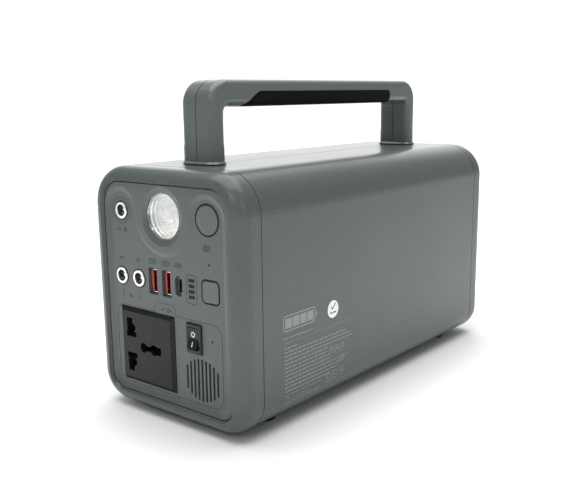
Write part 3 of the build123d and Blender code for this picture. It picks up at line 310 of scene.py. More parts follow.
def red_plastic():
    finish = Finish("red_plastic", Coat_Roughness=0.08, IOR=1.52)
    flow = finish.noise(220.0, 3.0)
    base = finish.blend(flow, shade(0.50, 0.022, 0.018), shade(0.64, 0.04, 0.03))
    # Painted shade: the red insert darkens towards the inside of the port, where the recess is in shade.
    mouth = low("usb_a_inserts").y
    sunk = finish.place("Y").eased(mouth + 0.05 * MM, mouth + 0.5 * MM)
    base = finish.blend(sunk, base, shade(0.10, 0.006, 0.004))
    finish.feed(Base_Color=base, Roughness=flow * 0.1 + 0.3, Coat_Weight=flow * 0.1 + 0.1)
    return finish.relief(finish.noise(1800.0), 0.2, 0.02 * MM)


# ---------------------------------------------------------------- rubber, lens and bright parts


def rubber(name, colour, rough):
    finish = Finish(name, IOR=1.45, Specular_IOR_Level=0.12)
    dust = finish.noise(420.0, 4.0, 0.65)
    pores = finish.noise(2600.0, 2.0)
    base = finish.blend(dust.eased(0.45, 0.75) * 0.5, colour, scaled(colour, 1.9))
    finish.feed(Base_Color=base, Roughness=dust * 0.14 + (rough - 0.07))
    return finish.relief(pores * 0.7 + dust * 0.3, 0.4, 0.05 * MM)


def grip_rubber():
    return rubber("grip_rubber", shade(0.0015, 0.0015, 0.002), 0.7)


def stud_rubber():
    return rubber("stud_rubber", shade(0.006, 0.0065, 0.007), 0.36)


def foot_rubber():
    return rubber("foot_rubber", grey(0.012), 0.62)


def clear_lens():
    """A clear polished cover: it lets light through and adds a sharp reflection at its own gloss."""
    finish = Finish("clear_lens")
    haze = finish.noise(900.0, 3.0)
    fresnel = finish.node("ShaderNodeFresnel", {}, {"IOR": 1.49})
    pane = finish.node("ShaderNodeBsdfTransparent", {}, {"Color": shade(0.96, 0.97, 0.97)})
    gloss = finish.node("ShaderNodeBsdfGlossy", {}, {"Color": grey(0.95), "Roughness": 0.05})
    mixed = finish.node("ShaderNodeMixShader", {}, {0: fresnel * 0.8 + haze * 0.01, 1: pane, 2: gloss})
    finish.tree.links.new(mixed.socket, finish.output.inputs["Surface"])
    finish.tree.nodes.remove(finish.shader)
    return finish


def bright_bowl():
    """Vacuum-plated plastic: a bright mirror, slightly milky where the plating is thin, with a painted glow
    in its own colour.
    """
    # The emission is painted light: the bowl glows faintly in its own colour, though it is no lamp.
    finish = Finish("bright_bowl", Metallic=0.85, IOR=1.5, Emission_Strength=0.42)
    milk = finish.noise(110.0, 2.0)
    base = finish.blend(milk.eased(0.4, 0.7), shade(0.95, 0.94, 0.91), shade(0.88, 0.87, 0.83))
    finish.feed(Base_Color=base, Roughness=milk * 0.06 + 0.16, Emission_Color=base)
    return finish.relief(milk, 0.1, 0.01 * MM)


def lamp_phosphor():
    finish = Finish("lamp_phosphor", IOR=1.45, Coat_Weight=0.5, Coat_Roughness=0.1)
    grain = finish.noise(3000.0, 3.0)
    base = finish.blend(grain, shade(0.74, 0.60, 0.12), shade(0.86, 0.76, 0.24))
    finish.feed(Base_Color=base, Roughness=grain * 0.2 + 0.3)
    return finish.relief(grain, 0.2, 0.02 * MM)


def smoke_window():
    finish = Finish("smoke_window", IOR=1.5, Coat_Roughness=0.06, Specular_IOR_Level=0.15)
    haze = finish.noise(700.0, 2.0)
    base = finish.blend(haze, shade(0.003, 0.003, 0.004), shade(0.007, 0.007, 0.008))
    finish.feed(Base_Color=base, Roughness=haze * 0.1 + 0.2, Coat_Weight=haze * 0.05 + 0.03)
    return finish.relief(haze, 0.12, 0.02 * MM)


# ---------------------------------------------------------------- metal finishes


def plated_metal(name, colour, rough, grain=(900.0, 900.0, 160.0), depth=0.015):
    """Plated or rolled metal: short drawn lines, faint stains and an uneven polish."""
    finish = Finish(name, Metallic=1.0, IOR=2.0)
    lines = finish.noise(1.0, 3.0, 0.6, finish.stretched(*grain))
    stains = finish.noise(180.0, 4.0)
    base = finish.blend(stains.eased(0.35, 0.75), colour, scaled(colour, 0.78))
    base = finish.blend(lines * 0.35, base, scaled(colour, 1.15))
    finish.feed(Base_Color=base, Roughness=stains * 0.14 + lines * 0.12 + (rough - 0.1))
    return finish.relief(lines, 0.3, depth * MM)


def nickel_plate():
    return plated_metal("nickel_plate", shade(0.86, 0.85, 0.82), 0.20)


def contact_brass():
    return plated_metal("contact_brass", shade(0.78, 0.55, 0.20), 0.24)


def screw_steel():
    return plated_metal("screw_steel", shade(0.50, 0.50, 0.51), 0.30, (600.0, 600.0, 600.0))


def black_screw_steel():
    return plated_metal("black_screw_steel", shade(0.05, 0.05, 0.052), 0.36, (600.0, 600.0, 600.0))


def plain_aluminium():
    return plated_metal("plain_aluminium", shade(0.72, 0.73, 0.74), 0.34, (60.0, 900.0, 60.0), 0.03)


def winding_tape():
    """Enamelled wire under clear tape: close turns, with painted highlights on their crests and painted shade
    in the gaps.
    """
    finish = Finish("winding_tape", IOR=1.5, Coat_Weight=0.45, Coat_Roughness=0.14)
    turns = (finish.place("Y") * (tau / (0.9 * MM))).sine() * 0.5 + 0.5
    stains = finish.noise(300.0, 3.0)
    # Painted highlight and shade: the copper is brighter on the crests of the turns and darker in the gaps
    # between them.
    base = finish.blend(turns, shade(0.30, 0.14, 0.04), shade(0.72, 0.46, 0.16))
    base = finish.blend(stains.eased(0.4, 0.8) * 0.4, base, shade(0.62, 0.55, 0.24))
    finish.feed(Base_Color=base, Roughness=stains * 0.16 + 0.24)
    return finish.relief(turns, 0.6, 0.2 * MM)


def ferrite():
    finish = Finish("ferrite", IOR=1.7)
    grain = finish.noise(1400.0, 4.0, 0.7)
    base = finish.blend(grain, shade(0.018, 0.018, 0.020), shade(0.05, 0.05, 0.054))
    finish.feed(Base_Color=base, Roughness=grain * 0.2 + 0.45)
    return finish.relief(grain, 0.4, 0.05 * MM)


def board_mask(name, colour, metal):
    """A circuit board: solder mask over straight tracks, with tinned pads on a grid."""
    finish = Finish(name, IOR=1.5, Coat_Weight=0.35, Coat_Roughness=0.15)
    pitch = 2.54 * MM
    across, along, up = finish.place("X"), finish.place("Y"), finish.place("Z")
    step_x = abs((across % pitch) / pitch - 0.5)
    step_y = abs(((along + up) % pitch) / pitch - 0.5)
    hatch = finish.noise(95.0, 1.0)
    track_x = (step_x < 0.09) * (hatch > 0.50)
    track_y = (step_y < 0.09) * (hatch < 0.47)
    radius = (step_x * step_x + step_y * step_y) ** 0.5
    pads = (radius < 0.24) * (finish.noise(330.0, 0.0) > 0.58)
    tracks = track_x.either(track_y)
    base = finish.blend(tracks * 0.75, colour, scaled(colour, 1.9))
    base = finish.blend(pads, base, metal)
    finish.feed(Base_Color=base, Metallic=pads * 0.9, Roughness=hatch * 0.15 + 0.28)
    return finish.relief(tracks.either(pads), 0.35, 0.06 * MM)


def green_board():
    return board_mask("green_board", shade(0.012, 0.085, 0.035), shade(0.72, 0.72, 0.70))


def white_board():
    return board_mask("white_board", shade(0.62, 0.62, 0.60), shade(0.70, 0.66, 0.50))


def shrink_sleeve(name, colour, band):
    """Heat-shrink film: gloss, a paler band and faint wrinkles round the can."""
    finish = Finish(name, IOR=1.5, Coat_Roughness=0.08)
    wrinkles = finish.noise(1.0, 3.0, 0.5, finish.stretched(240.0, 30.0, 240.0))
    stripe = ((finish.place("Y") % (18.0 * MM)) / (18.0 * MM)) > 0.90
    base = finish.blend(wrinkles, scaled(colour, 0.85), scaled(colour, 1.15))
    base = finish.blend(stripe * 0.8, base, band)
    finish.feed(Base_Color=base, Roughness=wrinkles * 0.12 + 0.2, Coat_Weight=wrinkles * 0.3 + 0.35)
    return finish.relief(wrinkles, 0.35, 0.12 * MM)


def cell_sleeve():
    return shrink_sleeve("cell_sleeve", shade(0.03, 0.15, 0.26), shade(0.5, 0.6, 0.64))


def can_sleeve():
    return shrink_sleeve("can_sleeve", shade(0.012, 0.02, 0.07), shade(0.45, 0.46, 0.5))


def lead_insulation(name, colour):
    finish = Finish(name, IOR=1.5, Coat_Weight=0.15, Coat_Roughness=0.3)
    drag = finish.noise(1.0, 2.0, 0.5, finish.stretched(900.0, 90.0, 90.0))
    finish.feed(Base_Color=finish.blend(drag, scaled(colour, 0.85), scaled(colour, 1.12)))
    finish.feed(Roughness=drag * 0.15 + 0.34)
    return finish.relief(drag, 0.3, 0.04 * MM)


# ---------------------------------------------------------------- printing


def ink(name, colour, rough=0.55):
    """Screen-printed ink: a slightly uneven film with pin holes that take the light differently."""
    finish = Finish(name, IOR=1.5)
    film = finish.noise(1800.0, 3.0, 0.6)
    base = finish.blend(film.eased(0.3, 0.75), scaled(colour, 0.88), scaled(colour, 1.1))
    finish.feed(Base_Color=base, Roughness=film * 0.2 + (rough - 0.1))
    return finish.relief(film, 0.25, 0.01 * MM)


def screen_mesh():
    """Fine black nylon mesh: threads both ways with darker holes between them."""
    finish = Finish("screen_mesh", IOR=1.45, Specular_IOR_Level=0.1)
    turns = tau / (0.5 * MM)
    threads = (finish.place("X") * turns).sine().either((finish.place("Z") * turns).sine())
    base = finish.blend(threads.eased(-0.2, 0.9), grey(0.0006), grey(0.003))
    finish.feed(Base_Color=base, Roughness=threads * 0.1 + 0.75)
    return finish.relief(threads * 0.5 + 0.5, 0.4, 0.05 * MM)


class Ink:
    """Flat marks on one face: closed slabs of ink drawn across and up from an origin on that face."""

    def __init__(self, origin, across, up):
        self.origin = Vector(origin)
        self.across = Vector(across).normalized()
        self.out = self.across.cross(Vector(up)).normalized()
        self.up = self.out.cross(self.across)
        self.body = bmesh.new()

    def corner(self, point, level):
        flat = self.origin + self.across * point[0] + self.up * point[1]
        return self.body.verts.new(flat + self.out * (ink_lift + level * ink_thickness))

    def fill(self, outline):
        """A filled shape, with its outline given anticlockwise."""
        back = [self.corner(point, 0.0) for point in outline]
        front = [self.corner(point, 1.0) for point in outline]
        self.body.faces.new(front)
        self.body.faces.new(back[::-1])
        for i in range(len(outline)):
            j = (i + 1) % len(outline)
            self.body.faces.new((back[i], back[j], front[j], front[i]))

    def line(self, points, width, closed=False):
        """A line of that width through the points, mitred at its corners."""
        points = [Vector(point) for point in points]
        count = len(points)
        sections = []
        for i, point in enumerate(points):
            before = points[i - 1] if closed or i else point
            after = points[(i + 1) % count] if closed or i < count - 1 else point
            first = (point - before).normalized() if point != before else (after - point).normalized()
            second = (after - point).normalized() if after != point else first
            along = (first + second).normalized()
            side = Vector((-along.y, along.x))
            reach = width / 2 / max(0.5, side.dot(Vector((-first.y, first.x))))
            left, right = point + side * reach, point - side * reach
            ring = ((left, 0), (right, 0), (right, 1), (left, 1))
            sections.append([self.corner(place, level) for place, level in ring])
        pairs = list(zip(sections, sections[1:])) + ([(sections[-1], sections[0])] if closed else [])
        for here, there in pairs:
            for i in range(4):
                j = (i + 1) % 4
                self.body.faces.new((here[i], here[j], there[j], there[i]))
        if not closed:
            self.body.faces.new(sections[0][::-1])
            self.body.faces.new(sections[-1])

    def disc(self, centre, radius, steps=32):
        self.fill(ring_points(centre, radius, steps))

    def ring(self, centre, radius, width, steps=40):
        self.line(ring_points(centre, radius, steps), width, closed=True)

    def bar(self, left, right, height, width):
        self.line([(left, height), (right, height)], width)

    def piece(self, name, finish, body, slot):
        """The marks as one object that rides on a body."""
        bmesh.ops.recalc_face_normals(self.body, faces=self.body.faces)
        mesh = bpy.data.meshes.new(name)
        self.body.to_mesh(mesh)
        self.body.free()
        return settled(bpy.data.objects.new(name, mesh), finish, body)


def settled(piece, finish, body):
    """Links a finished piece to the scene, gives it its material and lets it ride on its body."""
    bpy.context.collection.objects.link(piece)
    piece.data.materials.append(finish.material)
    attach(piece, body)
    return piece


def ring_points(centre, radius, steps, start=0.0, turn=tau):
    closed = abs(turn - tau) < 1e-9
    count = steps if closed else steps + 1
    angles = [start + turn * i / steps for i in range(count)]
    return [(centre[0] + radius * cos(a), centre[1] + radius * sin(a)) for a in angles]


def rounded_box(left, right, bottom, top, radius, steps=6):
    """The outline of a box with round corners, anticlockwise from its lower right one."""
    corners = ((right - radius, bottom + radius, -90), (right - radius, top - radius, 0))
    corners += ((left + radius, top - radius, 90), (left + radius, bottom + radius, 180))
    outline = []
    for x, y, start in corners:
        outline += ring_points((x, y), radius, steps, radians(start), pi / 2)
    return outline


# Icons. Each is drawn about a centre, and size is its height.


def direct_current_icon(marks, x, y, size, line):
    """A long bar over three short ones."""
    marks.bar(x - size * 0.75, x + size * 0.75, y + size * 0.22, line)
    for step in (-1, 0, 1):
        centre = x + step * size * 0.52
        marks.bar(centre - size * 0.17, centre + size * 0.17, y - size * 0.22, line)


def wave_icon(marks, x, y, size, line):
    """One period of a sine, for alternating current."""
    points = [(x + size * (i / 12 - 1), y - size * 0.32 * sin(tau * i / 24)) for i in range(25)]
    marks.line(points, line)


def arrow_head(marks, back, tip, y, size, line):
    """The two strokes at the end of an arrow that points to the right."""
    rise = size * 0.28
    marks.line([(back, y + rise), (tip, y), (back, y - rise)], line)


def inward_arrow_icon(marks, x, y, size, line):
    """An arrow that runs into an open box."""
    half = size / 2
    marks.line([(x, y + half), (x + half, y + half), (x + half, y - half), (x, y - half)], line)
    marks.bar(x - size * 0.7, x + size * 0.12, y, line)
    arrow_head(marks, x - size * 0.16, x + size * 0.16, y, size, line)


def outward_arrow_icon(marks, x, y, size, line):
    """An arrow that leaves an open box."""
    half = size / 2
    marks.line([(x, y + half), (x - half, y + half), (x - half, y - half), (x, y - half)], line)
    marks.bar(x - size * 0.12, x + size * 0.7, y, line)
    arrow_head(marks, x + size * 0.42, x + size * 0.74, y, size, line)


def torch_icon(marks, x, y, size, line):
    """A lamp head seen from the side, with three beams."""
    half = size / 2
    head = [(x - half * 0.4, y - half), (x - half * 0.4, y + half)]
    head += ring_points((x - half * 0.4, y), half, 10, pi / 2, pi)[1:-1]
    marks.line(head, line, closed=True)
    for step in (-1, 0, 1):
        marks.line([(x, y + step * half * 0.62), (x + half * 1.7, y + step * half * 0.95)], line)


def port_outline(marks, x, y, wide, tall, radius, steps, line):
    outline = rounded_box(x - wide / 2, x + wide / 2, y - tall / 2, y + tall / 2, radius, steps)
    marks.line(outline, line, closed=True)


def port_icon(marks, x, y, wide, tall, line):
    """The face of a flat port: its outline and its tongue."""
    port_outline(marks, x, y, wide, tall, tall * 0.28, 3, line)
    marks.bar(x - wide * 0.28, x + wide * 0.28, y + tall * 0.05, line)


def round_port_icon(marks, x, y, wide, tall, line):
    """The face of a port with round ends."""
    port_outline(marks, x, y, wide, tall, tall * 0.49, 5, line)
    marks.bar(x - wide * 0.24, x + wide * 0.24, y, line)


def battery_icon(marks, left, right, bottom, top, bars, line):
    """A battery lying on its side, with its charge shown in bars."""
    nub = (right - left) * 0.06
    inner = right - nub
    marks.line(rounded_box(left, inner, bottom, top, (top - bottom) * 0.2, 5), line, closed=True)
    height = top - bottom
    marks.fill(rounded_box(inner + line, right, bottom + height * 0.32, top - height * 0.32, nub * 0.3, 3))
    room = inner - left - 3 * line
    pitch = room / bars
    for i in range(bars):
        start = left + 1.5 * line + i * pitch + line * 0.5
        marks.fill(rounded_box(start, start + pitch - line, bottom + 2 * line, top - 2 * line, line * 0.5, 3))


# ---------------------------------------------------------------- what is printed on the front

panel_floor = low("front_panel").y + well_step
panel_ink_colour = shade(0.022, 0.026, 0.027)
side_ink_colour = shade(0.25, 0.28, 0.275)


def front_marks():
    """Marks on the sunk field of the front panel, across in X and up in Z."""
    return Ink((0, panel_floor, 0), (1, 0, 0), (0, 0, 1))


def jack_labels(printing):
    """A direct-current sign and an arrow below the input jack, and signs over the two outlets."""
    marks = front_marks()
    outlet_left, input_jack, outlet_right = solid_centres("jack_sleeves")
    label_drop, label_rise, size = 11.2 * MM, 10.6 * MM, 2.3 * MM
    direct_current_icon(marks, input_jack.x - 2.6 * MM, input_jack.z - label_drop, size, fine_line)
    inward_arrow_icon(marks, input_jack.x + 2.4 * MM, input_jack.z - label_drop, size, fine_line)
    for jack in (outlet_left, outlet_right):
        direct_current_icon(marks, jack.x, jack.z + label_rise, size, fine_line)
    marks.ring((input_jack.x, input_jack.z), 7.5 * MM, hair_line, 56)
    foot = outlet_left.z - 8.6 * MM
    drop, tick = 3.4 * MM, 1.7 * MM
    for jack, way in ((outlet_left, 1), (outlet_right, -1)):
        marks.line([(jack.x, foot), (jack.x, foot - drop), (jack.x + way * tick, foot - drop)], hair_line)
    between = (outlet_left.x + outlet_right.x) / 2
    outward_arrow_icon(marks, between - 0.4 * MM, foot - drop + 0.6 * MM, size, fine_line)
    return marks.piece("jack_labels", printing, case, "smoke_window")


def port_labels(printing):
    """A pictogram over each of the three ports."""
    marks = front_marks()
    rise, wide, tall = 11.7 * MM, 5.2 * MM, 2.5 * MM
    for port in solid_centres("usb_a_shells"):
        port_icon(marks, port.x, port.z + rise, wide, tall, fine_line)
    port = middle("usb_c_shell")
    round_port_icon(marks, port.x, port.z + rise, wide, tall * 0.8, fine_line)
    return marks.piece("port_labels", printing, case, "smoke_window")


def lamp_label(printing):
    """The torch sign below the lamp button."""
    marks = front_marks()
    button = middle("light_button")
    torch_icon(marks, button.x - 0.8 * MM, button.z - 15.2 * MM, 3.4 * MM, icon_line)
    return marks.piece("lamp_label", printing, case, "smoke_window")


def level_frame(printing):
    """The fine frame round the charge bars."""
    marks = front_marks()
    bars = middle("level_windows")
    half_wide, below, above = 4.0 * MM, 8.4 * MM, 7.7 * MM
    outline = rounded_box(bars.x - half_wide, bars.x + half_wide, bars.z - below, bars.z + above, 1.6 * MM, 5)
    marks.line(outline, hair_line, closed=True)
    return marks.piece("level_frame", printing, case, "smoke_window")


def mains_border(printing):
    """The border round the mains outlet, its switch and the vent, with a tab for the wave sign."""
    marks = front_marks()
    left, right, bottom, top, radius = -44.4 * MM, 42.1 * MM, 16.5 * MM, 64.2 * MM, 7.0 * MM
    tab_left, tab_right, tab_top, tab_radius = -10.9 * MM, 6.0 * MM, 69.9 * MM, 2.2 * MM
    rule, signs, tab_middle = top - 1.2 * MM, top + 2.3 * MM, (tab_left + tab_right) / 2
    outline = ring_points((right - radius, bottom + radius), radius, 8, -pi / 2, pi / 2)
    outline += ring_points((right - radius, top - radius), radius, 8, 0, pi / 2)
    outline += [(tab_right, top)]
    outline += ring_points((tab_right - tab_radius, tab_top - tab_radius), tab_radius, 5, 0, pi / 2)
    outline += ring_points((tab_left + tab_radius, tab_top - tab_radius), tab_radius, 5, pi / 2, pi / 2)
    outline += [(tab_left, top)]
    outline += ring_points((left + radius, top - radius), radius, 8, pi / 2, pi / 2)
    outline += ring_points((left + radius, bottom + radius), radius, 8, pi, pi / 2)
    marks.line(outline, hair_line, closed=True)
    marks.line([(tab_left, top), (tab_left + tab_radius, rule)], hair_line)
    marks.bar(tab_left + tab_radius, tab_right - tab_radius, rule, hair_line)
    wave_icon(marks, tab_middle - 1.4 * MM, signs, 1.9 * MM, fine_line)
    outward_arrow_icon(marks, tab_middle + 3.6 * MM, signs, 2.2 * MM, fine_line)
    return marks.piece("mains_border", printing, case, "smoke_window")


# ---------------------------------------------------------------- what is printed on the side

side_face = high("shell_right").x
front_end = low("front_bezel").y


def side_marks():
    """Marks on the right side, across in Y from the front end and up in Z."""
    return Ink((side_face, front_end, 0), (0, 1, 0), (0, 0, 1))


def battery_sign(printing):
    """A large battery sign, with a short line of dashes and a rule below it."""
    marks = side_marks()
    left = 33.0 * MM
    battery_icon(marks, left, 63.0 * MM, 57.5 * MM, 66.0 * MM, 4, 0.7 * MM)
    dash_row(marks, left, 60.0 * MM, 53.3 * MM, 1, 0.55 * MM)
    marks.bar(left, 98.0 * MM, 50.6 * MM, 0.16 * MM)
    return marks.piece("battery_sign", printing, case, "case_grey")


def dash_row(marks, start, end, height, seed, line):
    """A row of short dashes of uneven length, as long as a line of small print."""
    place, step = start, 0
    while place < end:
        length = (2.2 + 1.9 * (0.5 + 0.5 * sin(seed * 2.3 + step * 1.7))) * MM
        marks.bar(place, min(place + length, end), height, line)
        place += length + 0.75 * MM
        step += 1


def data_rows(printing):
    """Rows of dashes where a data table would be."""
    marks = side_marks()
    left, note_left = 33.5 * MM, 40.0 * MM
    first, pitch = 47.6 * MM, 2.28 * MM
    ends = (45, 92, 97, 98, 74, 73, 90, 78, 94, 88, 82, 76)
    for row, end in enumerate(ends):
        dash_row(marks, left, end * MM, first - row * pitch, row + 2, 0.6 * MM)
    foot = first - len(ends) * pitch
    marks.bar(left, 68.0 * MM, foot, hair_line)
    square = rounded_box(33.7 * MM, 37.1 * MM, foot - 4.6 * MM, foot - 1.2 * MM, 0.6 * MM, 3)
    marks.line(square, hair_line, closed=True)
    dash_row(marks, note_left, 56.0 * MM, foot - 2.0 * MM, 5, hair_line)
    dash_row(marks, note_left, 66.0 * MM, foot - 3.8 * MM, 8, hair_line)
    return marks.piece("data_rows", printing, case, "case_grey")


def corner_signs(printing):
    """Plain rings and squares at the end of the data table."""
    marks = side_marks()
    for across, height in ((77.0, 35.8), (82.6, 35.8), (88.2, 35.8), (88.2, 28.6)):
        marks.ring((across * MM, height * MM), 2.0 * MM, 0.4 * MM, 24)
        marks.disc((across * MM, height * MM), 0.7 * MM, 16)
    for step in range(3):
        left, bottom = (71.0 + 6.8 * step) * MM, (17.4 + 0.6 * step) * MM
        square = rounded_box(left, left + 4.8 * MM, bottom, bottom + 4.2 * MM, 0.8 * MM, 3)
        marks.line(square, 0.42 * MM, closed=True)
        marks.disc((left + 2.4 * MM, bottom + 2.1 * MM), 0.8 * MM, 16)
    return marks.piece("corner_signs", printing, case, "case_grey")


def sticker_disc(paper):
    """A round paper sticker."""
    marks = side_marks()
    marks.disc(sticker_place, sticker_radius, 64)
    return marks.piece("sticker_disc", paper, case, "white_plastic")


def sticker_tick(printing):
    """The tick printed on the sticker, over two short dashes."""
    marks = Ink((side_face + ink_thickness, front_end, 0), (0, 1, 0), (0, 0, 1))
    x, y = sticker_place
    tick = [(x - 2.0 * MM, y + 1.6 * MM), (x - 0.6 * MM, y + 0.2 * MM), (x + 2.3 * MM, y + 3.4 * MM)]
    marks.line(tick, 0.7 * MM)
    for left, right in ((-3.0, -0.6), (0.0, 3.0)):
        marks.bar(x + left * MM, x + right * MM, y - 2.0 * MM, 0.8 * MM)
    return marks.piece("sticker_tick", printing, case, "black_plastic")


# ---------------------------------------------------------------- marks on the rocker


def rocker_marks(printing):
    """A ring on the upper half of the rocker and a bar on its lower half, laid on its slopes."""
    body = welded("switch_rocker")
    surface = BVHTree.FromBMesh(body)
    centre, outward, across = middle("switch_rocker"), Vector((0, -0.05, 0)), Vector((1, 0, 0))
    for name, rise in (("rocker_off_ring", 2.5 * MM), ("rocker_on_bar", -2.9 * MM)):
        start = centre + outward + Vector((0, 0, rise))
        spot, normal, _, _ = surface.ray_cast(start, Vector((0, 1, 0)))
        marks = Ink(spot, across, normal.cross(across))
        if "ring" in name:
            marks.ring((0, 0), 1.25 * MM, 0.55 * MM, 40)
        else:
            marks.line([(0, -1.5 * MM), (0, 1.5 * MM)], 0.6 * MM)
        marks.piece(name, printing, "switch_rocker", "white_plastic")
    body.free()


# ---------------------------------------------------------------- lamp bowl


def lamp_bowl(finish):
    """The plated bowl behind the lens: rings of pillowed facets that run down to the throat."""
    box_low, box_high = low("lamp_reflector"), high("lamp_reflector")
    centre = (box_low + box_high) / 2
    gap, throat, wall, pillow, crease = 0.05 * MM, 3.3 * MM, 0.7 * MM, 0.6 * MM, radians(16)
    rings, sides, grid = 2, 9, 8
    mouth = (box_high.x - box_low.x) / 2 - gap
    front, back = box_low.y + gap, box_high.y - gap
    depth = back - front
    body = bmesh.new()

    def bowl_point(turn, share):
        """A point on the smooth bowl: a parabola of revolution."""
        radius = throat + (mouth - wall - throat) * share
        sink = (radius * radius - throat * throat) / ((mouth - wall) ** 2 - throat * throat)
        return Vector((radius * cos(turn), -sink * depth, radius * sin(turn)))

    def add_facet(ring, side):
        """One facet, its middle pressed towards the axis so that it shines as a pillow."""
        shift = 0.5 * (ring % 2)
        corners = []
        for i in range(grid + 1):
            row = []
            for j in range(grid + 1):
                share = (ring + i / grid) / rings
                turn = tau * (side + shift + j / grid) / sides
                point = bowl_point(turn, share)
                puff = 16 * (i / grid) * (1 - i / grid) * (j / grid) * (1 - j / grid)
                inward = Vector((-cos(turn), -0.6, -sin(turn)))
                row.append(body.verts.new(point + inward * (pillow * puff * (0.4 + share))))
            corners.append(row)
        for i in range(grid):
            for j in range(grid):
                body.faces.new((corners[i][j], corners[i][j + 1], corners[i + 1][j + 1], corners[i + 1][j]))

    for ring in range(rings):
        for side in range(sides):
            add_facet(ring, side)
    bmesh.ops.remove_doubles(body, verts=body.verts, dist=0.004 * MM)
    for edge in body.edges:
        edge.smooth = len(edge.link_faces) == 2 and edge.calc_face_angle(0) < crease
    for face in body.faces:
        face.smooth = True
    for corner in body.verts:
        corner.co += Vector((centre.x, back, centre.z))
    bmesh.ops.recalc_face_normals(body, faces=body.faces)
    mesh = bpy.data.meshes.new("lamp_bowl")
    body.to_mesh(mesh)
    body.free()
    piece = bpy.data.objects.new("lamp_bowl", mesh)
    thickness = piece.modifiers.new("wall", "SOLIDIFY")
    thickness.thickness = wall * 0.8
    thickness.offset = -1.0
    settled(piece, finish, case)
    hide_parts("lamp_reflector")
    return piece


# ---------------------------------------------------------------- grip studs


def grip_studs(finish):
    """Small domes in diamond rows over the rubber grip, laid on its surface."""
    body = welded("handle_grip")
    surface = BVHTree.FromBMesh(body)
    box_low, box_high = low("handle_grip"), high("handle_grip")
    axis_height = box_high.z + 1.0 * MM
    reach, pitch, margin = 60 * MM, 2.3 * MM, 1.3 * MM
    level_slack, edge_slack, side_depth = 0.05 * MM, 0.6 * MM, 1.0 * MM

    def touch(x, y, z, direction):
        spot, normal, _, _ = surface.ray_cast(Vector((x, y, z)) - direction * reach, direction)
        return (spot, normal) if spot else None

    def section(y):
        """Points round the lower outside of the grip at y, a row pitch apart."""
        found, last, steps = [], None, 720
        for i in range(steps + 1):
            turn = pi * i / steps
            direction = Vector((-cos(turn), 0, sin(turn)))
            hit = touch(0, y, axis_height, direction)
            if hit is None or hit[0].z > box_high.z - margin:
                continue
            if last is None or (hit[0] - last).length >= pitch / 2:
                found.append((hit[0], hit[1], direction))
                last = hit[0]
        return found

    rows = section((box_low.y + box_high.y) / 2)
    domes = bmesh.new()
    count = int((box_high.y - box_low.y - 2 * margin) / pitch)
    for row, (spot, _, direction) in enumerate(rows):
        for i in range(count + 1):
            y = box_low.y + margin + (i + 0.5 * (row % 2)) * pitch
            here = touch(0, y, axis_height, direction)
            if here is None or abs(here[0].z - spot.z) > level_slack:
                continue
            ends = [touch(0, y + side * margin, axis_height, direction) for side in (-1, 1)]
            above = here[0] + Vector((0, 0, margin))
            outward = Vector((1 if here[0].x > 0 else -1, 0, 0))
            top = surface.ray_cast(above + outward * 5 * MM, -outward)[0]
            wide = abs(here[0].x) > box_high.x - side_depth
            if any(end is None or (end[0] - here[0]).length > margin * 1.2 for end in ends):
                continue
            if wide and (top is None or abs(top.x - here[0].x) > edge_slack):
                continue
            add_dome(domes, here[0], here[1], 0.52 * MM, 0.26 * MM)
    body.free()
    mesh = bpy.data.meshes.new("grip_studs")
    bmesh.ops.recalc_face_normals(domes, faces=domes.faces)
    for face in domes.faces:
        face.smooth = True
    domes.to_mesh(mesh)
    domes.free()
    return settled(bpy.data.objects.new("grip_studs", mesh), finish, case)


def add_dome(body, spot, normal, radius, height):
    """A closed dome of two rings and a tip, sunk a little into the surface."""
    turn = normal.to_track_quat("Z", "Y").to_matrix()
    sides = 8
    rings = []
    profile = ((radius, -0.1 * MM), (radius * 0.9, height * 0.45), (radius * 0.5, height * 0.88))
    for ring_radius, level in profile:
        points = ring_points((0, 0), ring_radius, sides)
        rings.append([body.verts.new(spot + turn @ Vector((x, y, level))) for x, y in points])
    tip = body.verts.new(spot + turn @ Vector((0, 0, height)))
    body.faces.new(rings[0][::-1])
    for lower, upper in zip(rings, rings[1:]):
        for i in range(sides):
            j = (i + 1) % sides
            body.faces.new((lower[i], lower[j], upper[j], upper[i]))
    for i in range(sides):
        body.faces.new((rings[-1][i], rings[-1][(i + 1) % sides], tip))


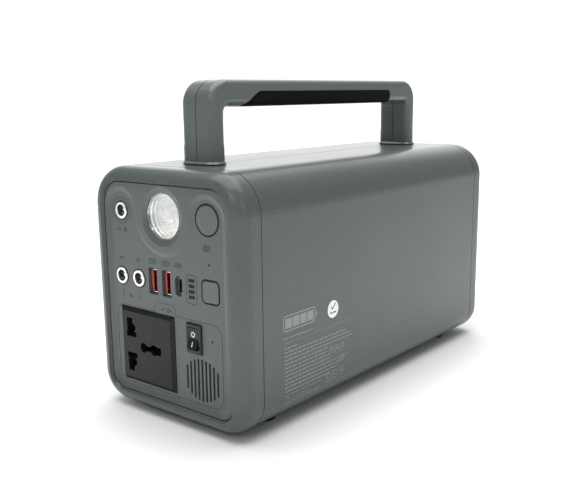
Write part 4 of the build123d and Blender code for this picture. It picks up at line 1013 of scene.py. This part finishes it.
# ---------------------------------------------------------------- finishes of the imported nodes


def finish_nodes():
    """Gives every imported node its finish."""
    plan = {
        case_plastic(): ("front_bezel", "shell_right", "shell_left", "rear_cover"),
        handle_plastic(): ("handle_right", "handle_left"),
        panel_plastic(): ("front_panel",),
        button_plastic(): ("light_button", "power_button"),
        grip_rubber(): ("handle_grip",),
        foot_rubber(): ("rubber_feet", "handle_gaskets"),
        socket_plastic(): ("socket_face", "socket_body"),
        black_plastic(): (
            "switch_housing", "switch_rocker", "fan_frame", "fan_rotor", "jack_bodies", "tact_switches",
            "transistors", "usb_c_tongue", "battery_board_parts", "cell_holders",
        ),
        white_nylon(): ("board_pillars", "board_posts"),
        red_plastic(): ("usb_a_inserts",),
        clear_lens(): ("lamp_lens",),
        bright_bowl(): ("lamp_reflector",),
        lamp_phosphor(): ("lamp_led", "indicator_leds"),
        smoke_window(): ("level_windows", "status_windows"),
        nickel_plate(): ("jack_sleeves", "jack_pins", "usb_a_shells", "usb_c_shell", "connecting_strips"),
        contact_brass(): ("usb_a_contacts", "socket_contacts", "switch_terminals"),
        screw_steel(): ("panel_screws", "board_screws", "fan_screws"),
        black_screw_steel(): ("tie_bolts", "handle_screws"),
        plain_aluminium(): ("battery_tray", "heat_sinks"),
        winding_tape(): ("transformer_winding", "inductors"),
        ferrite(): ("transformer_core",),
        green_board(): ("port_board", "inverter_board", "charger_board", "battery_board"),
        white_board(): ("lamp_board",),
        cell_sleeve(): ("battery_cells",),
        can_sleeve(): ("capacitors",),
        lead_insulation("red_lead", shade(0.36, 0.02, 0.018)): ("battery_leads",),
        lead_insulation("grey_lead", shade(0.14, 0.14, 0.145)): ("socket_leads",),
    }
    for finish, nodes in plan.items():
        for node in nodes:
            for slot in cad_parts[node].material_slots:
                slot.material = finish.material


def dust_screen(finish):
    """A sheet of black mesh behind the vent and in front of the fan."""
    fan = middle("fan_frame")
    half, gap = 16.5 * MM, 0.3 * MM
    sheet = Ink((0, low("fan_frame").y - gap, 0), (1, 0, 0), (0, 0, 1))
    sheet.fill(rounded_box(fan.x - half, fan.x + half, fan.z - half, fan.z + half, 2.0 * MM, 4))
    return sheet.piece("dust_screen", finish, case, "black_plastic")


def joint_shadows(finish):
    """Painted shadow: dark ink rings round the two buttons, where the panel's cut edge falls away."""
    marks = front_marks()
    light, power = middle("light_button"), middle("power_button")
    line = button_joint_shadow_line
    radius = high("light_button").x - light.x - button_flange + line * 0.6
    marks.ring((light.x, light.z), radius, line, 64)
    half = high("power_button").x - power.x - button_flange + line * 0.6
    box = rounded_box(power.x - half, power.x + half, power.z - half, power.z + half, 3.0 * MM, 8)
    marks.line(box, line, closed=True)
    return marks.piece("button_joint_shadows", finish, case, "black_plastic")


def panel_joint_shadow(finish):
    """A painted shadow: a dark line all round the panel, along the outer edge of its raised rim, where the
    joint is.
    """
    body = welded("front_panel")
    rim, slack = low("front_panel").y, 0.05 * MM
    flat = [Vector((corner.co.x, corner.co.z)) for corner in body.verts if corner.co.y < rim + slack]
    body.free()
    outline = [flat[index] for index in convex_hull_2d(flat)]
    marks = Ink((0, rim, 0), (1, 0, 0), (0, 0, 1))
    marks.line(outline, panel_joint_shadow_line, closed=True)
    return marks.piece("panel_joint_shadow", finish, case, "black_plastic")


def contact_springs(finish):
    """The sprung tabs on the red lip along the left wall of each USB-A shell."""
    shells = solid_centres("usb_a_shells")
    wall_and_lip, pitch, half = 1.1 * MM, 3.6 * MM, 0.9 * MM
    face = shells[0].x - low("usb_a_shells").x - wall_and_lip
    mouth = low("usb_a_shells").y
    for number, shell in enumerate(shells):
        tabs = Ink((shell.x - face, mouth, shell.z), (0, 1, 0), (0, 0, 1))
        for height in (-pitch, 0, pitch):
            tabs.fill(rounded_box(0.6 * MM, 3.4 * MM, height - half, height + half, 0.4 * MM, 3))
        tabs.piece(f"contact_springs_{number + 1}", finish, case, "contact_brass")


def print_front():
    printing = ink("panel_ink", panel_ink_colour)
    jack_labels(printing)
    port_labels(printing)
    lamp_label(printing)
    level_frame(printing)
    mains_border(printing)
    # Near-black ink that paints the shadows in the joints round the buttons.
    joint_shadows(ink("joint_shadow_ink", grey(0.002), 0.9))
    # Near-black ink that paints the shadow in the joint round the panel.
    panel_joint_shadow(ink("panel_edge_shadow_ink", grey(0.002), 0.9))
    dust_screen(screen_mesh())
    contact_springs(contact_brass())


def print_side():
    printing = ink("side_ink", side_ink_colour, 0.5)
    battery_sign(printing)
    data_rows(printing)
    corner_signs(printing)
    sticker_disc(ink("sticker_paper", shade(0.96, 0.96, 0.95), 0.6))
    sticker_tick(ink("sticker_ink", grey(0.03)))


# ---------------------------------------------------------------- studio


def floor_finish():
    """Pale seamless paper with a faint tooth, and painted light: it glows more away from the object and far
    behind it.
    """
    finish = Finish("floor_paper", IOR=1.3, Specular_IOR_Level=0.2, Emission_Strength=1.0)
    tooth = finish.noise(600.0, 3.0)
    across, along = finish.place("X"), finish.place("Y")
    base = finish.blend(tooth, grey(0.90), grey(0.93))
    half_wide, half_long = cad_box[1][0], cad_box[1][1]
    beside = (abs(across) - half_wide).either(0.0)
    beyond = (abs(along) - half_long).either(0.0)
    away = (beside * beside + beyond * beyond) ** 0.5
    behind = along * 0.77 - across * 0.64
    near_glow = 0.42
    # Painted light: the paper glows more with distance from the object's footprint, up to 12 cm, and fully
    # far behind the object, so that only the floor next to the object keeps its shadow.
    painted_glow_share = behind.eased(0.35, 1.2).either(away.eased(0.0, 0.12) * near_glow)
    glow = finish.blend(painted_glow_share, grey(0.0), grey(1.0))
    finish.feed(Base_Color=base, Roughness=tooth * 0.1 + 0.8, Emission_Color=glow)
    return finish


def lay_floor():
    """A wide round sheet of paper that the feet stand on."""
    radius, steps = 6.0, 96
    body = bmesh.new()
    body.faces.new([body.verts.new((x, y, 0)) for x, y in ring_points((0, 0), radius, steps)])
    mesh = bpy.data.meshes.new("floor")
    body.to_mesh(mesh)
    body.free()
    floor = bpy.data.objects.new("floor", mesh)
    bpy.context.collection.objects.link(floor)
    mesh.materials.append(floor_finish().material)


def soft_box(name, place, aim, size, power):
    """A rectangular studio light that faces a point."""
    light = bpy.data.lights.new(name, "AREA")
    light.shape = "RECTANGLE"
    light.size, light.size_y = size
    light.energy = power
    lamp = bpy.data.objects.new(name, light)
    lamp.location = place
    lamp.rotation_euler = (Vector(aim) - Vector(place)).to_track_quat("-Z", "Y").to_euler()
    bpy.context.collection.objects.link(lamp)


def light_room():
    """A room that is white behind the object and dim in front of it."""
    world = bpy.data.worlds.new("studio")
    bpy.context.scene.world = world
    world.use_nodes = True
    room = Finish("studio", world.node_tree)
    way = room.node("ShaderNodeTexCoord", {}, {}, "Generated")
    back_way = Vector((-0.61, 0.79, 0.10)).normalized()
    facing = room.node("ShaderNodeVectorMath", {"operation": "DOT_PRODUCT"}, {0: way, 1: back_way}, "Value")
    white = facing.eased(0.66, 0.92)
    colour = room.blend(white, shade(0.20, 0.205, 0.21), shade(1.9, 1.9, 1.86))
    seen = room.node("ShaderNodeLightPath", {}, {}, "Is Camera Ray")
    colour = room.blend(seen, colour, grey(1.1))
    sky = room.node("ShaderNodeBackground", {}, {"Color": colour, "Strength": 1.0})
    output = world.node_tree.nodes.new("ShaderNodeOutputWorld")
    world.node_tree.links.new(sky.socket, output.inputs["Surface"])


def place_lights():
    target = (0, 0, 0.08)
    soft_box("overhead_box", (-0.06, 0.02, 1.20), target, (1.6, 1.3), 23.0)
    soft_box("front_box", (0.45, -1.30, 1.00), target, (0.5, 0.5), 3.0)
    soft_box("right_strip", (1.25, -0.35, 0.60), target, (0.22, 0.9), 1.2)


def place_camera():
    """Stands in front and to the right, looking a little down."""
    camera = bpy.data.cameras.new("camera")
    camera.sensor_width = 36.0
    camera.lens = 48.5
    camera.shift_x = 0.0273
    camera.shift_y = 0.0130
    viewer = bpy.data.objects.new("camera", camera)
    yaw, pitch, roll = radians(40.135), radians(11.687), radians(-0.816)
    turn = Matrix.Rotation(yaw, 4, "Z") @ Matrix.Rotation(pi / 2 - pitch, 4, "X")
    place = Matrix.Translation((0.3223, -0.4216, 0.1844))
    viewer.matrix_world = place @ (turn @ Matrix.Rotation(roll, 4, "Z"))
    bpy.context.collection.objects.link(viewer)
    bpy.context.scene.camera = viewer


def build_scene():
    place_camera()
    lay_floor()
    light_room()
    place_lights()
    bpy.context.scene.view_settings.view_transform = "Standard"
    finish_nodes()
    lamp_bowl(bright_bowl())
    grip_studs(stud_rubber())
    print_front()
    print_side()
    rocker_marks(ink("rocker_ink", shade(0.80, 0.80, 0.78)))


build_scene()
